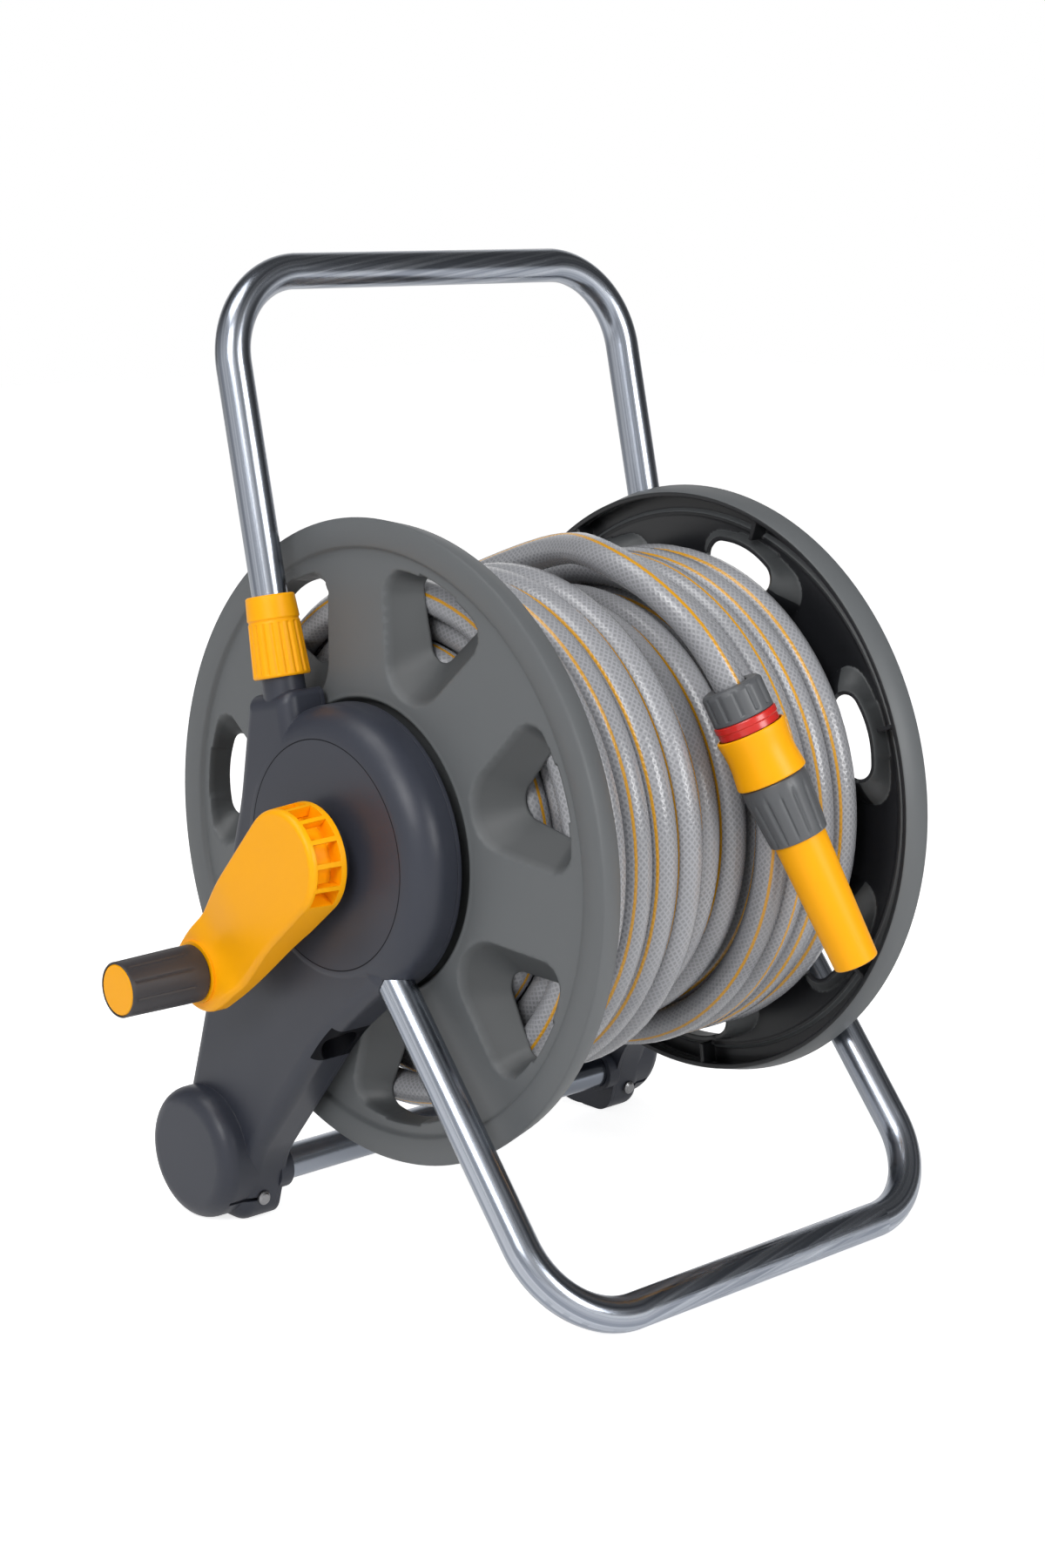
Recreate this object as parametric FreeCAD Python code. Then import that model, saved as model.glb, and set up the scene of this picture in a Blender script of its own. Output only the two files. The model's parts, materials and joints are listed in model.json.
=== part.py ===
import FreeCAD, Part
import math
import os

V = FreeCAD.Vector
X_AXIS = V(1, 0, 0)

# Free-standing garden hose reel, sizes in millimetres.
# The pieces are drawn about the drum's axis: X along the axis with the crank at -X, the front at -Y, Z up.
# At the end everything is moved so that the origin is under the middle of the reel, on the floor.

# Frame
AXLE_HEIGHT = 224.0
TUBE_R = 9.5
TUBE_WALL = 1.2
TUBE_BEND_R = 48.0
LEG_X = 141.0
HANDLE_LEAN = 12.8
HANDLE_OFFSET = 30.2
HANDLE_BAR_S = 305.0
HANDLE_END_S = 14.0
HANDLE_TRAVEL = 95.0
HANDLE_RUNOUT = 37.0
FRONT_LEAN = 39.3
FRONT_OFFSET = 8.4
FRONT_END_S = -35.0
FRONT_SOCKET_S = -120.0
CROSSBAR_Y = 85.0
CROSSBAR_Z = -197.0
TUBE_FIT = 0.08
TUBE_SLIDE = 0.3
PLUG_HEAD_T = 2.0
PLUG_LENGTH = 14.0
PLUG_CHAMFER = 1.0

# Side panels, the left one is the mirror image of the right one
PANEL_WALL = 3.0
CAVITY_STEP = 2.0
COVER_T = 2.5
DISC_R = 76.3
DISC_SHOULDER = 16.3
DISC_PROUD = 0.6
LOBE_R = 37.0
LOBE_Y = 109.0
LOBE_OUTER_X = 168.5
LOBE_EDGE_R = 10.0
ARM_EDGE_R = 9.0
TOWER_TOP_S = 86.0
TOWER_FRONT = 16.0
TOWER_REAR = 19.0
BOSS_R = 20.0
BOSS_TIP_X = 162.0
HOUSING_WALL = 3.0
FOOT_BOSS_TIP_X = 122.0
FOOT_FRONT_Y = 75.5
FOOT_SCREW_Z = -209.6
FOOT_SCREW_LENGTH = 16.0
FOOT_SLIT_TIP_X = 161.0
FOOT_SLIT_H = 2.2

# Screws, all of one size
SCREW_R = 1.9
SCREW_HEAD_R = 3.8
COVER_SCREWS = [(-50.0, 36.0), (-12.0, -66.0), (58.0, -36.0), (80.0, -120.0)]

# Collars that clamp the handle
NECK_R = 11.4
NECK_ROOT = 4.0
NECK_TIP_S = 116.0
COLLAR_S = 93.6
COLLAR_TIP_S = 136.5
COLLAR_R = 15.2
COLLAR_TIP_R = 13.0
COLLAR_RIBS = 18
SLEEVE_TIP_R = 10.9

# Drum
FLANGE_R = 170.0
FLANGE_WALL = 2.5
RIM_WALL = 3.0
RIM_DEPTH = 14.6
RIM_TAPER = 3.1
RIM_FACE_W = 14.4
FLANGE_GAP = 3.5
HUB_RECESS_R = 75.0
WEB_STEP = 3.0
RIM_STEP_W = 1.6
HUB_RECESS_DEPTH = 6.0
WEB_SLOPE = 6.5
RIM_STEP = 2.6
POCKET_DEPTH = 19.5
WINDOWS = 7
FIRST_WINDOW = 57.5
MOUTH_GAPS = (6.0, 13.5, 2.8)
MOUTH_HALVES = (15.3, 42.8)
MOUTH_RADII = (10.0, 13.0, 100.0)
HOLE_GAPS = (27.0, 12.0, 3.8)
HOLE_HALVES = (10.2, 26.4)
HOLE_RADII = (7.5, 8.5, 50.0)
RIM_RIB_T = 2.2
RIM_RIB_GAP = 5.0
RIM_RIB_DROP = 4.5
SPIGOT_LENGTH = 7.0
BARREL_SCREW_INSET = 4.0
BARREL_R = 90.0
BARREL_WALL = 3.0

# Axle
SPINDLE_R = 11.0
SPINDLE_FIT = 0.05
SPINDLE_DISC_R = 27.0
SPINDLE_DISC_T = 4.0
BUSH_WALL = 3.5
BUSH_FLANGE_R = 18.0
BUSH_FLANGE_T = 2.3
WATER_BORE_R = 4.0
NOSE_R = 8.0
INLET_LENGTH = 33.0
INLET_R = 8.6
ELBOW_R = 7.5
ELBOW_X = 84.0
ELBOW_ANGLE = 200.0
ELBOW_INSET = 0.5
NUT_FLAT_R = 13.0
NUT_T = 4.5

# Crank
CRANK_R = 29.5
CRANK_T = 21.5
CRANK_GAP = 1.5
CRANK_TIP_R = 20.5
CRANK_TIP_T = 9.5
CRANK_TIP_Y = 71.7
CRANK_TIP_Z = -71.2
CRANK_POCKETS = 7
CRANK_SQUARE = 15.0
CRANK_EDGE_R = 3.0
CRANK_FACE_T = 3.4
CRANK_CELL_BACK = 3.2
CRANK_CELL_DEPTH = 9.0
CRANK_CELL_HALF = 5.2
GRIP_SEAT_T = 1.6
GRIP_R = 15.4
GRIP_TIP_R = 14.8
GRIP_LENGTH = 48.0
GRIP_PIN_R = 4.0
GRIP_PIN_HEAD_R = 6.5
GRIP_RIBS = 20
GRIP_GROOVE_R = 0.8

# Hose
HOSE_R = 8.7
LAYER_PITCH = 18.15
CORE_GAP = 0.4
CORE_T = 30.7
LAYER_STEP = 15.9
RIGHT_TURNS = 4
LOW_TURNS_X = [26.0, 6.0]
LEFT_TURNS = 5
VALLEY = (-14.0, 37.0)
VALLEY_SLOPE = 1.5
PASS_START = 65.0 / 360
PASS_END = 245.0 / 360
WOUND_LEAD = 0.3
STEP_DOWN_LEAD = 1.35
DIP_DEPTH = 18.2
DIP_START = -0.22
DIP_END = 0.08
RUN_R = 150.0
RUN_X = 5.0
RUN_END = 72.0 / 360
RUN_END_R = 136.5
CLIMB_LEAD = 0.06
CLIMB_TURNS = 0.3
CROSS_DELAY = 0.12
DROP_TURNS = 0.14
FREE_FIRST_RUN = 37.0
FREE_ROUTE = [V(-10.0, -50.0, 148.0), V(-9.0, -92.0, 134.0)]
FREE_END_REACH = 21.0
HOSE_IN_NUT = 12.0

# Hose-end connector and nozzle, lengths along their common axis
END_START = V(9.1, -128.1, 85.5)
END_TIP = V(51.9, -180.8, -58.5)
NUT_R = 16.5
NUT_LENGTH = 17.3
NUT_RIBS = 12
GROOVE_R = 1.1
RING_R = 17.0
RING_LENGTH = 7.7
SLEEVE_R = 19.0
SLEEVE_LENGTH = 28.0
SLEEVE_TRAVEL = 4.0
NOZZLE_GRIP_R = 18.0
NOZZLE_GRIP_LENGTH = 33.6
NOZZLE_GRIP_RIBS = 16
GRIP_BORE_R = 12.3
NOZZLE_TUBE_R = 14.0
NOZZLE_TIP_R = 12.0
OUTLET_R = 3.0
THREAD_R = 13.0
CONNECTOR_BORE_R = 4.8
STEM_R = 8.0

# Worked out from the sizes above
SEAM_R = DISC_R - DISC_SHOULDER
HANDLE_GUIDE_S = HANDLE_END_S - HANDLE_TRAVEL - HANDLE_RUNOUT
PANEL_BACK_X = LEG_X - TUBE_R - 1.0
PANEL_FACE_X = LEG_X + TUBE_R + 0.5 + PANEL_WALL
COVER_X = PANEL_BACK_X - COVER_T
LOBE_Z = -AXLE_HEIGHT + LOBE_R
CREST_X = COVER_X - FLANGE_GAP
HUB_X = CREST_X - HUB_RECESS_DEPTH
WEB_R0 = HUB_RECESS_R + WEB_STEP
WEB_R1 = FLANGE_R - RIM_FACE_W - RIM_STEP_W
RIM_X = CREST_X - WEB_SLOPE + RIM_STEP
RIM_INNER_X = RIM_X - RIM_DEPTH
POCKET_X = CREST_X - POCKET_DEPTH
DISC_X = HUB_X - FLANGE_WALL - 0.5
BORE_R = SPINDLE_R + SPINDLE_FIT
BUSH_R = BORE_R + BUSH_WALL
CORE_R = BARREL_R + CORE_T
LAYER_R = CORE_R + CORE_GAP + HOSE_R
CORE_X = POCKET_X - 0.4
CRANK_X0 = BOSS_TIP_X + CRANK_GAP
CRANK_X1 = CRANK_X0 + CRANK_T
GRIP_X0 = CRANK_X1 + 2.0
GRIP_X1 = GRIP_X0 + GRIP_LENGTH
INLET_X0 = BOSS_TIP_X + 3.0
INLET_X1 = INLET_X0 + INLET_LENGTH
SCREW_REACH = PANEL_FACE_X - PANEL_WALL - 1.5 - COVER_X
CROSSBAR_TIP_X = PANEL_FACE_X - 4.0
CRANK_LENGTH = math.hypot(CRANK_TIP_Y, CRANK_TIP_Z)
CRANK_ANGLE = math.degrees(math.atan2(CRANK_TIP_Z, CRANK_TIP_Y))
EDGE_TURN_X = POCKET_X - CORE_GAP - HOSE_R
RING_T = NUT_LENGTH
SLEEVE_T = RING_T + RING_LENGTH
GRIP_T = SLEEVE_T + SLEEVE_LENGTH
TUBE_T = GRIP_T + NOZZLE_GRIP_LENGTH
CORE_TIP_T = SLEEVE_T + 20.0
STEM_TIP_T = TUBE_T + 42.0


class Leg:
    """A leaning plane of bent tube: s runs up along the legs, across is square to them."""

    def __init__(self, lean, offset):
        angle = math.radians(lean)
        self.up = V(0, math.sin(angle), math.cos(angle))
        self.out = V(0, math.cos(angle), -math.sin(angle))
        self.offset = offset

    def at(self, s, x=0.0, across=0.0):
        return V(x, 0, 0) + self.up * s + self.out * (self.offset + across)

    def s_at_height(self, z):
        return (z - self.out.z * self.offset) / self.up.z


HANDLE = Leg(HANDLE_LEAN, HANDLE_OFFSET)
FRONT = Leg(FRONT_LEAN, FRONT_OFFSET)
FRONT_BAR_S = FRONT.s_at_height(TUBE_R - AXLE_HEIGHT)
END_AXIS = (END_TIP - END_START).normalize()
END_LENGTH = (END_TIP - END_START).Length


# Shapes that many pieces share

SIDE_USED = 0.98

def corner_moved(corners, sides, i, grow):
    """Corner i of an outline moved outwards by grow: its point, its arc's radius and half its turn."""
    before, after = sides[i - 1], sides[i]
    out_before, out_after = V(before.y, -before.x, 0), V(after.y, -after.x, 0)
    shift = (out_before + out_after) * (grow / (1.0 + out_before.dot(out_after)))
    convex = before.cross(after).z > 0
    radius = max(corners[i][2] + (grow if convex else -grow), 0.4)
    return V(corners[i][0], corners[i][1], 0) + shift, radius, before.getAngle(after) / 2.0


def fitted_radii(moved):
    """The arcs' radii, smaller where two neighbouring arcs would need more than their common side."""
    count = len(moved)
    reaches = [radius * math.tan(half_turn) for _, radius, half_turn in moved]
    shares = [1.0] * count
    for i in range(count):
        after = (i + 1) % count
        side = (moved[after][0] - moved[i][0]).Length
        share = SIDE_USED * side / (reaches[i] + reaches[after])
        shares[i] = min(shares[i], share)
        shares[after] = min(shares[after], share)
    return [radius * share for (_, radius, _), share in zip(moved, shares)]


def rounded_outline(corners, place, grow=0.0):
    """Closed wire through corners (a, b, radius), each an arc, moved outwards by grow."""
    count = len(corners)
    area = sum(corners[i - 1][0] * corners[i][1] - corners[i][0] * corners[i - 1][1] for i in range(count))
    if area < 0:
        corners = corners[::-1]
    points = [V(a, b, 0) for a, b, _ in corners]
    sides = [(points[(i + 1) % count] - points[i]).normalize() for i in range(count)]
    moved = [corner_moved(corners, sides, i, grow) for i in range(count)]
    radii = fitted_radii(moved)
    starts, middles, ends = [], [], []
    for i in range(count):
        before, after = sides[i - 1], sides[i]
        point, _, half_turn = moved[i]
        reach = radii[i] * math.tan(half_turn)
        inward = (after - before).normalize()
        starts.append(point - before * reach)
        middles.append(point + inward * (radii[i] / math.cos(half_turn) - radii[i]))
        ends.append(point + after * reach)
    edges = []
    for i in range(count):
        edges.append(Part.Arc(place(starts[i]), place(middles[i]), place(ends[i])).toShape())
        edges.append(Part.LineSegment(place(ends[i]), place(starts[(i + 1) % count])).toShape())
    return Part.Wire(edges)


def yz_at(x):
    """Placing function that lays an outline's (a, b) on the plane at x as (y, z)."""
    return lambda point: V(x, point.x, point.y)


def prism(corners, x0, x1, grow=0.0):
    """Solid between two X planes with a rounded outline."""
    face = Part.Face(rounded_outline(corners, yz_at(x0), grow))
    return face.extrude(V(x1 - x0, 0, 0))


def turned(profile, origin, direction):
    """Solid of revolution: profile points are (along, radius) from origin along direction."""
    points = [V(t, r, 0) for t, r in profile]
    face = Part.Face(Part.makePolygon(points + points[:1]))
    solid = face.revolve(V(0, 0, 0), X_AXIS, 360)
    solid.Placement = FreeCAD.Placement(origin, FreeCAD.Rotation(X_AXIS, direction))
    return solid


def ring(r_outer, r_inner, t0, t1, origin, direction):
    """Plain tube between t0 and t1 along direction."""
    return turned([(t0, r_inner), (t1, r_inner), (t1, r_outer), (t0, r_outer)], origin, direction)


def rod(radius, start, end):
    """Round bar from start to end."""
    return Part.makeCylinder(radius, (end - start).Length, start, end - start)


def box_between(low, high):
    """Box from its lowest to its highest corner."""
    return Part.makeBox(high[0] - low[0], high[1] - low[1], high[2] - low[2], V(*low))


def flutes(count, radius, r0, r1, t0, t1, origin, direction):
    """Round cutters that lie along a cone, evenly spaced about it."""
    cutters = []
    turn = FreeCAD.Rotation(X_AXIS, direction)
    for i in range(count):
        angle = 2 * math.pi * i / count
        start = V(t0, r0 * math.cos(angle), r0 * math.sin(angle))
        end = V(t1, r1 * math.cos(angle), r1 * math.sin(angle))
        cutters.append(rod(radius, origin + turn.multVec(start), origin + turn.multVec(end)))
    return Part.makeCompound(cutters)


def mirrored(shape):
    """The same piece for the other side."""
    return shape.mirror(V(0, 0, 0), X_AXIS)


def around_axle(angle, radius, x=0.0):
    """Point at an angle from the rear, turning over the top, about the drum's axis."""
    turn = math.radians(angle)
    return V(x, radius * math.cos(turn), radius * math.sin(turn))


# Frame tubes

def u_path(leg, end_s, bar_s):
    """Two legs, two bends and a bar, in the leg's plane."""
    bend = math.copysign(TUBE_BEND_R, bar_s - end_s)
    flat = 1 - math.sqrt(0.5)
    inner = LEG_X - TUBE_BEND_R
    edges = []
    for side in (-1, 1):
        foot = leg.at(end_s, side * LEG_X)
        bend_start = leg.at(bar_s - bend, side * LEG_X)
        bend_middle = leg.at(bar_s - bend * flat, side * (LEG_X - TUBE_BEND_R * flat))
        bend_end = leg.at(bar_s, side * inner)
        edges.append(Part.LineSegment(foot, bend_start).toShape())
        edges.append(Part.Arc(bend_start, bend_middle, bend_end).toShape())
    edges.append(Part.LineSegment(leg.at(bar_s, -inner), leg.at(bar_s, inner)).toShape())
    return Part.Wire(Part.__sortEdges__(edges))


def swept(path, radius):
    """Round bar along a path, square to its start."""
    first_edge = path.OrderedEdges[0]
    tangent = first_edge.tangentAt(first_edge.FirstParameter)
    circle = Part.Wire(Part.makeCircle(radius, path.OrderedVertexes[0].Point, tangent))
    return path.makePipeShell([circle], True, False)


def u_tube(leg, end_s, bar_s):
    """Bent tube with its bore."""
    path = u_path(leg, end_s, bar_s)
    return swept(path, TUBE_R).cut(swept(path, TUBE_R - TUBE_WALL))


def leg_screw_line(side):
    """Line of the screw that holds a front leg in its side panel."""
    middle = (FRONT_END_S - DISC_R) / 2.0
    return FRONT.at(middle, side * COVER_X), V(side, 0, 0)


def make_handle_tube():
    return u_tube(HANDLE, HANDLE_END_S, HANDLE_BAR_S)


def make_front_leg_tube():
    tube = u_tube(FRONT, FRONT_END_S, FRONT_BAR_S)
    for side in (-1, 1):
        start, direction = leg_screw_line(side)
        tube = tube.cut(rod(SCREW_R + 0.1, start, start + direction * SCREW_REACH))
    return tube


def make_rear_crossbar():
    half = CROSSBAR_TIP_X
    start, end = V(-half, CROSSBAR_Y, CROSSBAR_Z), V(half, CROSSBAR_Y, CROSSBAR_Z)
    return rod(TUBE_R, start, end).cut(rod(TUBE_R - TUBE_WALL, start, end))


def make_handle_plugs():
    """Plugs that close the handle's lower ends."""
    plugs = []
    for side in (-1, 1):
        end = HANDLE.at(HANDLE_END_S, side * LEG_X)
        stem_r = TUBE_R - TUBE_WALL - TUBE_FIT
        profile = [
            (-PLUG_HEAD_T, 0), (PLUG_LENGTH, 0), (PLUG_LENGTH, stem_r - PLUG_CHAMFER),
            (PLUG_LENGTH - 2 * PLUG_CHAMFER, stem_r), (0, stem_r), (0, TUBE_R),
            (-PLUG_HEAD_T, TUBE_R - PLUG_CHAMFER),
        ]
        plugs.append(turned(profile, end, HANDLE.up))
    return Part.makeCompound(plugs)


# Side panels and what sits in them

ARM_OUTLINE = [
    (HANDLE.at(TOWER_TOP_S, 0, -TOWER_FRONT).y, HANDLE.at(TOWER_TOP_S, 0, -TOWER_FRONT).z, 4.0),
    (HANDLE.at(TOWER_TOP_S, 0, TOWER_REAR).y, HANDLE.at(TOWER_TOP_S, 0, TOWER_REAR).z, 4.0),
    (76.5, 17.0, 160.0),
    (119.0, -125.0, 60.0),
    (130.0, -160.0, 20.0),
    (130.0, -200.0, 20.0),
    (LOBE_Y - 5.0, -AXLE_HEIGHT, 6.0),
    (81.0, -AXLE_HEIGHT, 12.0),
    (69.5, -183.5, 50.0),
    (3.0, -100.0, 130.0),
    (-47.0, -58.5, 8.0),
    (13.8, -3.1, 8.0),
]


def arm_block():
    """The panel's arm and tower with its outer edges rounded."""
    block = prism(ARM_OUTLINE, PANEL_BACK_X, PANEL_FACE_X)
    rim = [edge for edge in block.Edges if abs(edge.BoundBox.XMin - PANEL_FACE_X) < 1e-6]
    return block.makeFillet(ARM_EDGE_R, rim)


def disc_block():
    """The round of the panel with its shoulder down to the seam."""
    face_x = PANEL_FACE_X + DISC_PROUD
    drop = DISC_R - SEAM_R
    half_drop = drop * math.sqrt(0.5)
    flat_x = face_x - drop
    rim, seam = V(flat_x, DISC_R, 0), V(face_x, SEAM_R, 0)
    shoulder = Part.Arc(rim, V(flat_x + half_drop, SEAM_R + half_drop, 0), seam)
    back = [V(face_x, 0, 0), V(PANEL_BACK_X, 0, 0), V(PANEL_BACK_X, DISC_R, 0)]
    sides = Part.makePolygon([seam] + back + [rim])
    face = Part.Face(Part.Wire([shoulder.toShape()] + sides.Edges))
    return face.revolve(V(0, 0, 0), X_AXIS, 360)


def lobe_block(x0, x1, radius, edge_r):
    """Round foot with a rounded outer edge."""
    lobe = rod(radius, V(x0, LOBE_Y, LOBE_Z), V(x1, LOBE_Y, LOBE_Z))
    flat = [edge for edge in lobe.Edges if edge.BoundBox.XLength < 1e-6]
    rim = [edge for edge in flat if abs(edge.BoundBox.XMin - x1) < 1e-6]
    return lobe.makeFillet(edge_r, rim)


def panel_cavity():
    """Room inside the panel, open at its back."""
    start_x = PANEL_BACK_X - 1
    deep_x = PANEL_FACE_X - PANEL_WALL
    step_x = PANEL_FACE_X - 2.4 * PANEL_WALL
    shoulder_x = PANEL_FACE_X - 3.6 * PANEL_WALL
    lobe_deep_x = LOBE_OUTER_X - 1.4 * PANEL_WALL
    room = prism(ARM_OUTLINE, start_x, step_x, -PANEL_WALL)
    room = room.fuse(prism(ARM_OUTLINE, start_x, deep_x, -2.0 * PANEL_WALL))
    room = room.fuse(rod(DISC_R - 1.4 * PANEL_WALL, V(start_x, 0, 0), V(shoulder_x, 0, 0)))
    room = room.fuse(rod(SEAM_R - CAVITY_STEP, V(start_x, 0, 0), V(deep_x, 0, 0)))
    lobe_start, lobe_end = V(start_x, LOBE_Y, LOBE_Z), V(lobe_deep_x, LOBE_Y, LOBE_Z)
    return room.fuse(rod(LOBE_R - 2.0 * PANEL_WALL, lobe_start, lobe_end))


def tube_lines():
    """Every tube line through the right panel: start, end and the radius of its bore."""
    bar_start = V(PANEL_BACK_X - 1, CROSSBAR_Y, CROSSBAR_Z)
    bar_end = V(CROSSBAR_TIP_X, CROSSBAR_Y, CROSSBAR_Z)
    return [
        (HANDLE.at(HANDLE_GUIDE_S, LEG_X), HANDLE.at(NECK_TIP_S + 5, LEG_X), TUBE_R + TUBE_SLIDE),
        (FRONT.at(FRONT_SOCKET_S, LEG_X), FRONT.at(FRONT_END_S, LEG_X), TUBE_R + TUBE_FIT),
        (bar_start, bar_end, TUBE_R + TUBE_FIT),
    ]


def panel_guides():
    """Sleeves and posts inside the panel: round the bush, the tubes and the screws."""
    guides = [rod(BUSH_R + HOUSING_WALL, V(PANEL_BACK_X, 0, 0), V(PANEL_FACE_X - 1, 0, 0))]
    for start, end, radius in tube_lines():
        guides.append(rod(radius + HOUSING_WALL, start, end))
    guides.append(rod(TUBE_R + TUBE_FIT + HOUSING_WALL, V(PANEL_BACK_X, CROSSBAR_Y, CROSSBAR_Z),
                      V(LOBE_OUTER_X - 1, CROSSBAR_Y, CROSSBAR_Z)))
    for y, z in COVER_SCREWS:
        guides.append(rod(SCREW_HEAD_R + 0.6, V(PANEL_BACK_X, y, z), V(PANEL_FACE_X - 1, y, z)))
    start, direction = foot_screw_line(1)
    guide_start, guide_end = start - direction * 9, start + direction * (FOOT_SCREW_LENGTH + 2)
    guides.append(rod(SCREW_HEAD_R + 2.6, guide_start, guide_end))
    return guides[0].multiFuse(guides[1:])


def panel_right():
    """Right side panel: a shell with guides for the tubes and a boss for the bush."""
    lobe = lobe_block(PANEL_BACK_X, LOBE_OUTER_X, LOBE_R, LOBE_EDGE_R)
    outer = arm_block().fuse(disc_block()).fuse(lobe).removeSplitter()
    shell = outer.cut(panel_cavity())
    neck = neck_round()
    boss = rod(BOSS_R, V(PANEL_FACE_X - 2, 0, 0), V(BOSS_TIP_X, 0, 0))
    shell = shell.multiFuse([panel_guides().common(outer), neck, boss])
    bores = [rod(radius, start, end) for start, end, radius in tube_lines()]
    bores.append(rod(BUSH_R, V(PANEL_BACK_X - 1, 0, 0), V(BOSS_TIP_X + 1, 0, 0)))
    for y, z in COVER_SCREWS:
        bores.append(rod(SCREW_R, V(COVER_X, y, z), V(COVER_X + SCREW_REACH, y, z)))
    start, direction = leg_screw_line(1)
    bores.append(rod(SCREW_R, start, start + direction * SCREW_REACH))
    bores += foot_screw_cuts()
    return shell.cut(Part.makeCompound(bores)).removeSplitter()


def foot_screw_line(side):
    """Line of the screw that closes the foot's clamp on the crossbar, from under its head."""
    return V(side * LEG_X, FOOT_FRONT_Y + 1.0, FOOT_SCREW_Z), V(0, 1, 0)


def foot_screw_cuts():
    """Seat and bore of the foot screw and the slit beside it."""
    start, direction = foot_screw_line(1)
    seat = rod(SCREW_HEAD_R + 0.7, start - direction * 12, start)
    bore = rod(SCREW_R, start, start + direction * FOOT_SCREW_LENGTH)
    half = FOOT_SLIT_H / 2
    low = (LEG_X, start.y - 10, FOOT_SCREW_Z - half)
    high = (FOOT_SLIT_TIP_X, start.y + 5.5, FOOT_SCREW_Z + half)
    return [seat, bore, box_between(low, high)]


def countersunk_screw(start, direction, reach):
    """Screw with a flush head, its head's face at start."""
    cone = SCREW_HEAD_R - SCREW_R
    shaft_r, head_r = SCREW_R - 0.1, SCREW_HEAD_R - 0.45
    profile = [(0, 0), (reach, 0), (reach - 1, shaft_r), (cone, shaft_r), (0.4, head_r), (0, head_r)]
    return turned(profile, start, direction)


def cover_right():
    """Plate that closes the panel's back, with a boss round the crossbar."""
    parts = [
        rod(DISC_R, V(COVER_X, 0, 0), V(PANEL_BACK_X, 0, 0)),
        rod(LOBE_R, V(COVER_X, LOBE_Y, LOBE_Z), V(PANEL_BACK_X, LOBE_Y, LOBE_Z)),
        rod(TUBE_R + TUBE_FIT + HOUSING_WALL, V(FOOT_BOSS_TIP_X, CROSSBAR_Y, CROSSBAR_Z),
            V(PANEL_BACK_X, CROSSBAR_Y, CROSSBAR_Z)),
    ]
    plate = prism(ARM_OUTLINE, COVER_X, PANEL_BACK_X).multiFuse(parts)
    cuts = [
        rod(BUSH_R, V(COVER_X - 1, 0, 0), V(PANEL_BACK_X + 1, 0, 0)),
        rod(TUBE_R + TUBE_FIT, V(FOOT_BOSS_TIP_X - 1, CROSSBAR_Y, CROSSBAR_Z),
            V(PANEL_BACK_X + 1, CROSSBAR_Y, CROSSBAR_Z)),
        neck_round(),
    ]
    heads = [V(COVER_X, y, z) for y, z in COVER_SCREWS] + [leg_screw_line(1)[0]]
    for head in heads:
        cuts.append(countersink(head, X_AXIS))
    return plate.cut(Part.makeCompound(cuts)).removeSplitter()


def countersink(head, direction):
    """Seat for a countersunk screw."""
    cone = SCREW_HEAD_R - SCREW_R
    profile = [(-1, 0), (10, 0), (10, SCREW_R), (cone, SCREW_R), (0, SCREW_HEAD_R), (-1, SCREW_HEAD_R)]
    return turned(profile, head, direction)


def neck_round():
    """Round neck on the tower: the panel carries it and the cover leaves it room."""
    return rod(NECK_R, HANDLE.at(TOWER_TOP_S - NECK_ROOT, LEG_X), HANDLE.at(NECK_TIP_S, LEG_X))


def collar(side):
    """Ribbed ring that is turned to clamp the handle."""
    foot = HANDLE.at(COLLAR_S, side * LEG_X)
    length = COLLAR_TIP_S - COLLAR_S
    thread_end = NECK_TIP_S - COLLAR_S + 1.2
    bore = NECK_R + TUBE_SLIDE
    top_bore = TUBE_R + 0.4
    profile = [
        (0, bore), (thread_end, bore), (length - 3.0, SLEEVE_TIP_R + TUBE_SLIDE), (length - 2.6, top_bore),
        (length, top_bore), (length, COLLAR_TIP_R - 0.8), (length - 0.8, COLLAR_TIP_R), (0.8, COLLAR_R),
        (0, COLLAR_R - 0.8),
    ]
    body = turned(profile, foot, HANDLE.up)
    groove = 0.9
    low_r, high_r = COLLAR_R + 0.1, COLLAR_TIP_R + 0.45
    cutters = flutes(COLLAR_RIBS, groove, low_r, high_r, 1.6, length - 9.0, foot, HANDLE.up)
    return body.cut(cutters)


def clamp_sleeve(side):
    """Slit cone between the neck and the handle that the collar squeezes."""
    foot = HANDLE.at(NECK_TIP_S, side * LEG_X)
    length = COLLAR_TIP_S - NECK_TIP_S - 3.6
    bore = TUBE_R + TUBE_FIT
    profile = [(0, bore), (length, bore), (length, SLEEVE_TIP_R - 0.4), (0.8, NECK_R), (0, NECK_R)]
    body = turned(profile, foot, HANDLE.up)
    slit = box_between((side * LEG_X - 0.8, -20, -60), (side * LEG_X + 0.8, 0, 60))
    slit.rotate(V(0, 0, 0), X_AXIS, -HANDLE_LEAN)
    slit.translate(V(0, foot.y, foot.z))
    return body.cut(slit)


def bearing_bush(side):
    """Flanged plain bearing for the drum's spindle."""
    face_x, seat_x = COVER_X - BUSH_FLANGE_T, COVER_X - 0.1
    outer_r = BUSH_R - TUBE_FIT
    profile = [
        (face_x, BORE_R), (BOSS_TIP_X, BORE_R), (BOSS_TIP_X, outer_r), (seat_x, outer_r),
        (seat_x, BUSH_FLANGE_R),
        (face_x, BUSH_FLANGE_R),
    ]
    return turned(profile, V(0, 0, 0), V(side, 0, 0))


# Drum

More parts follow.
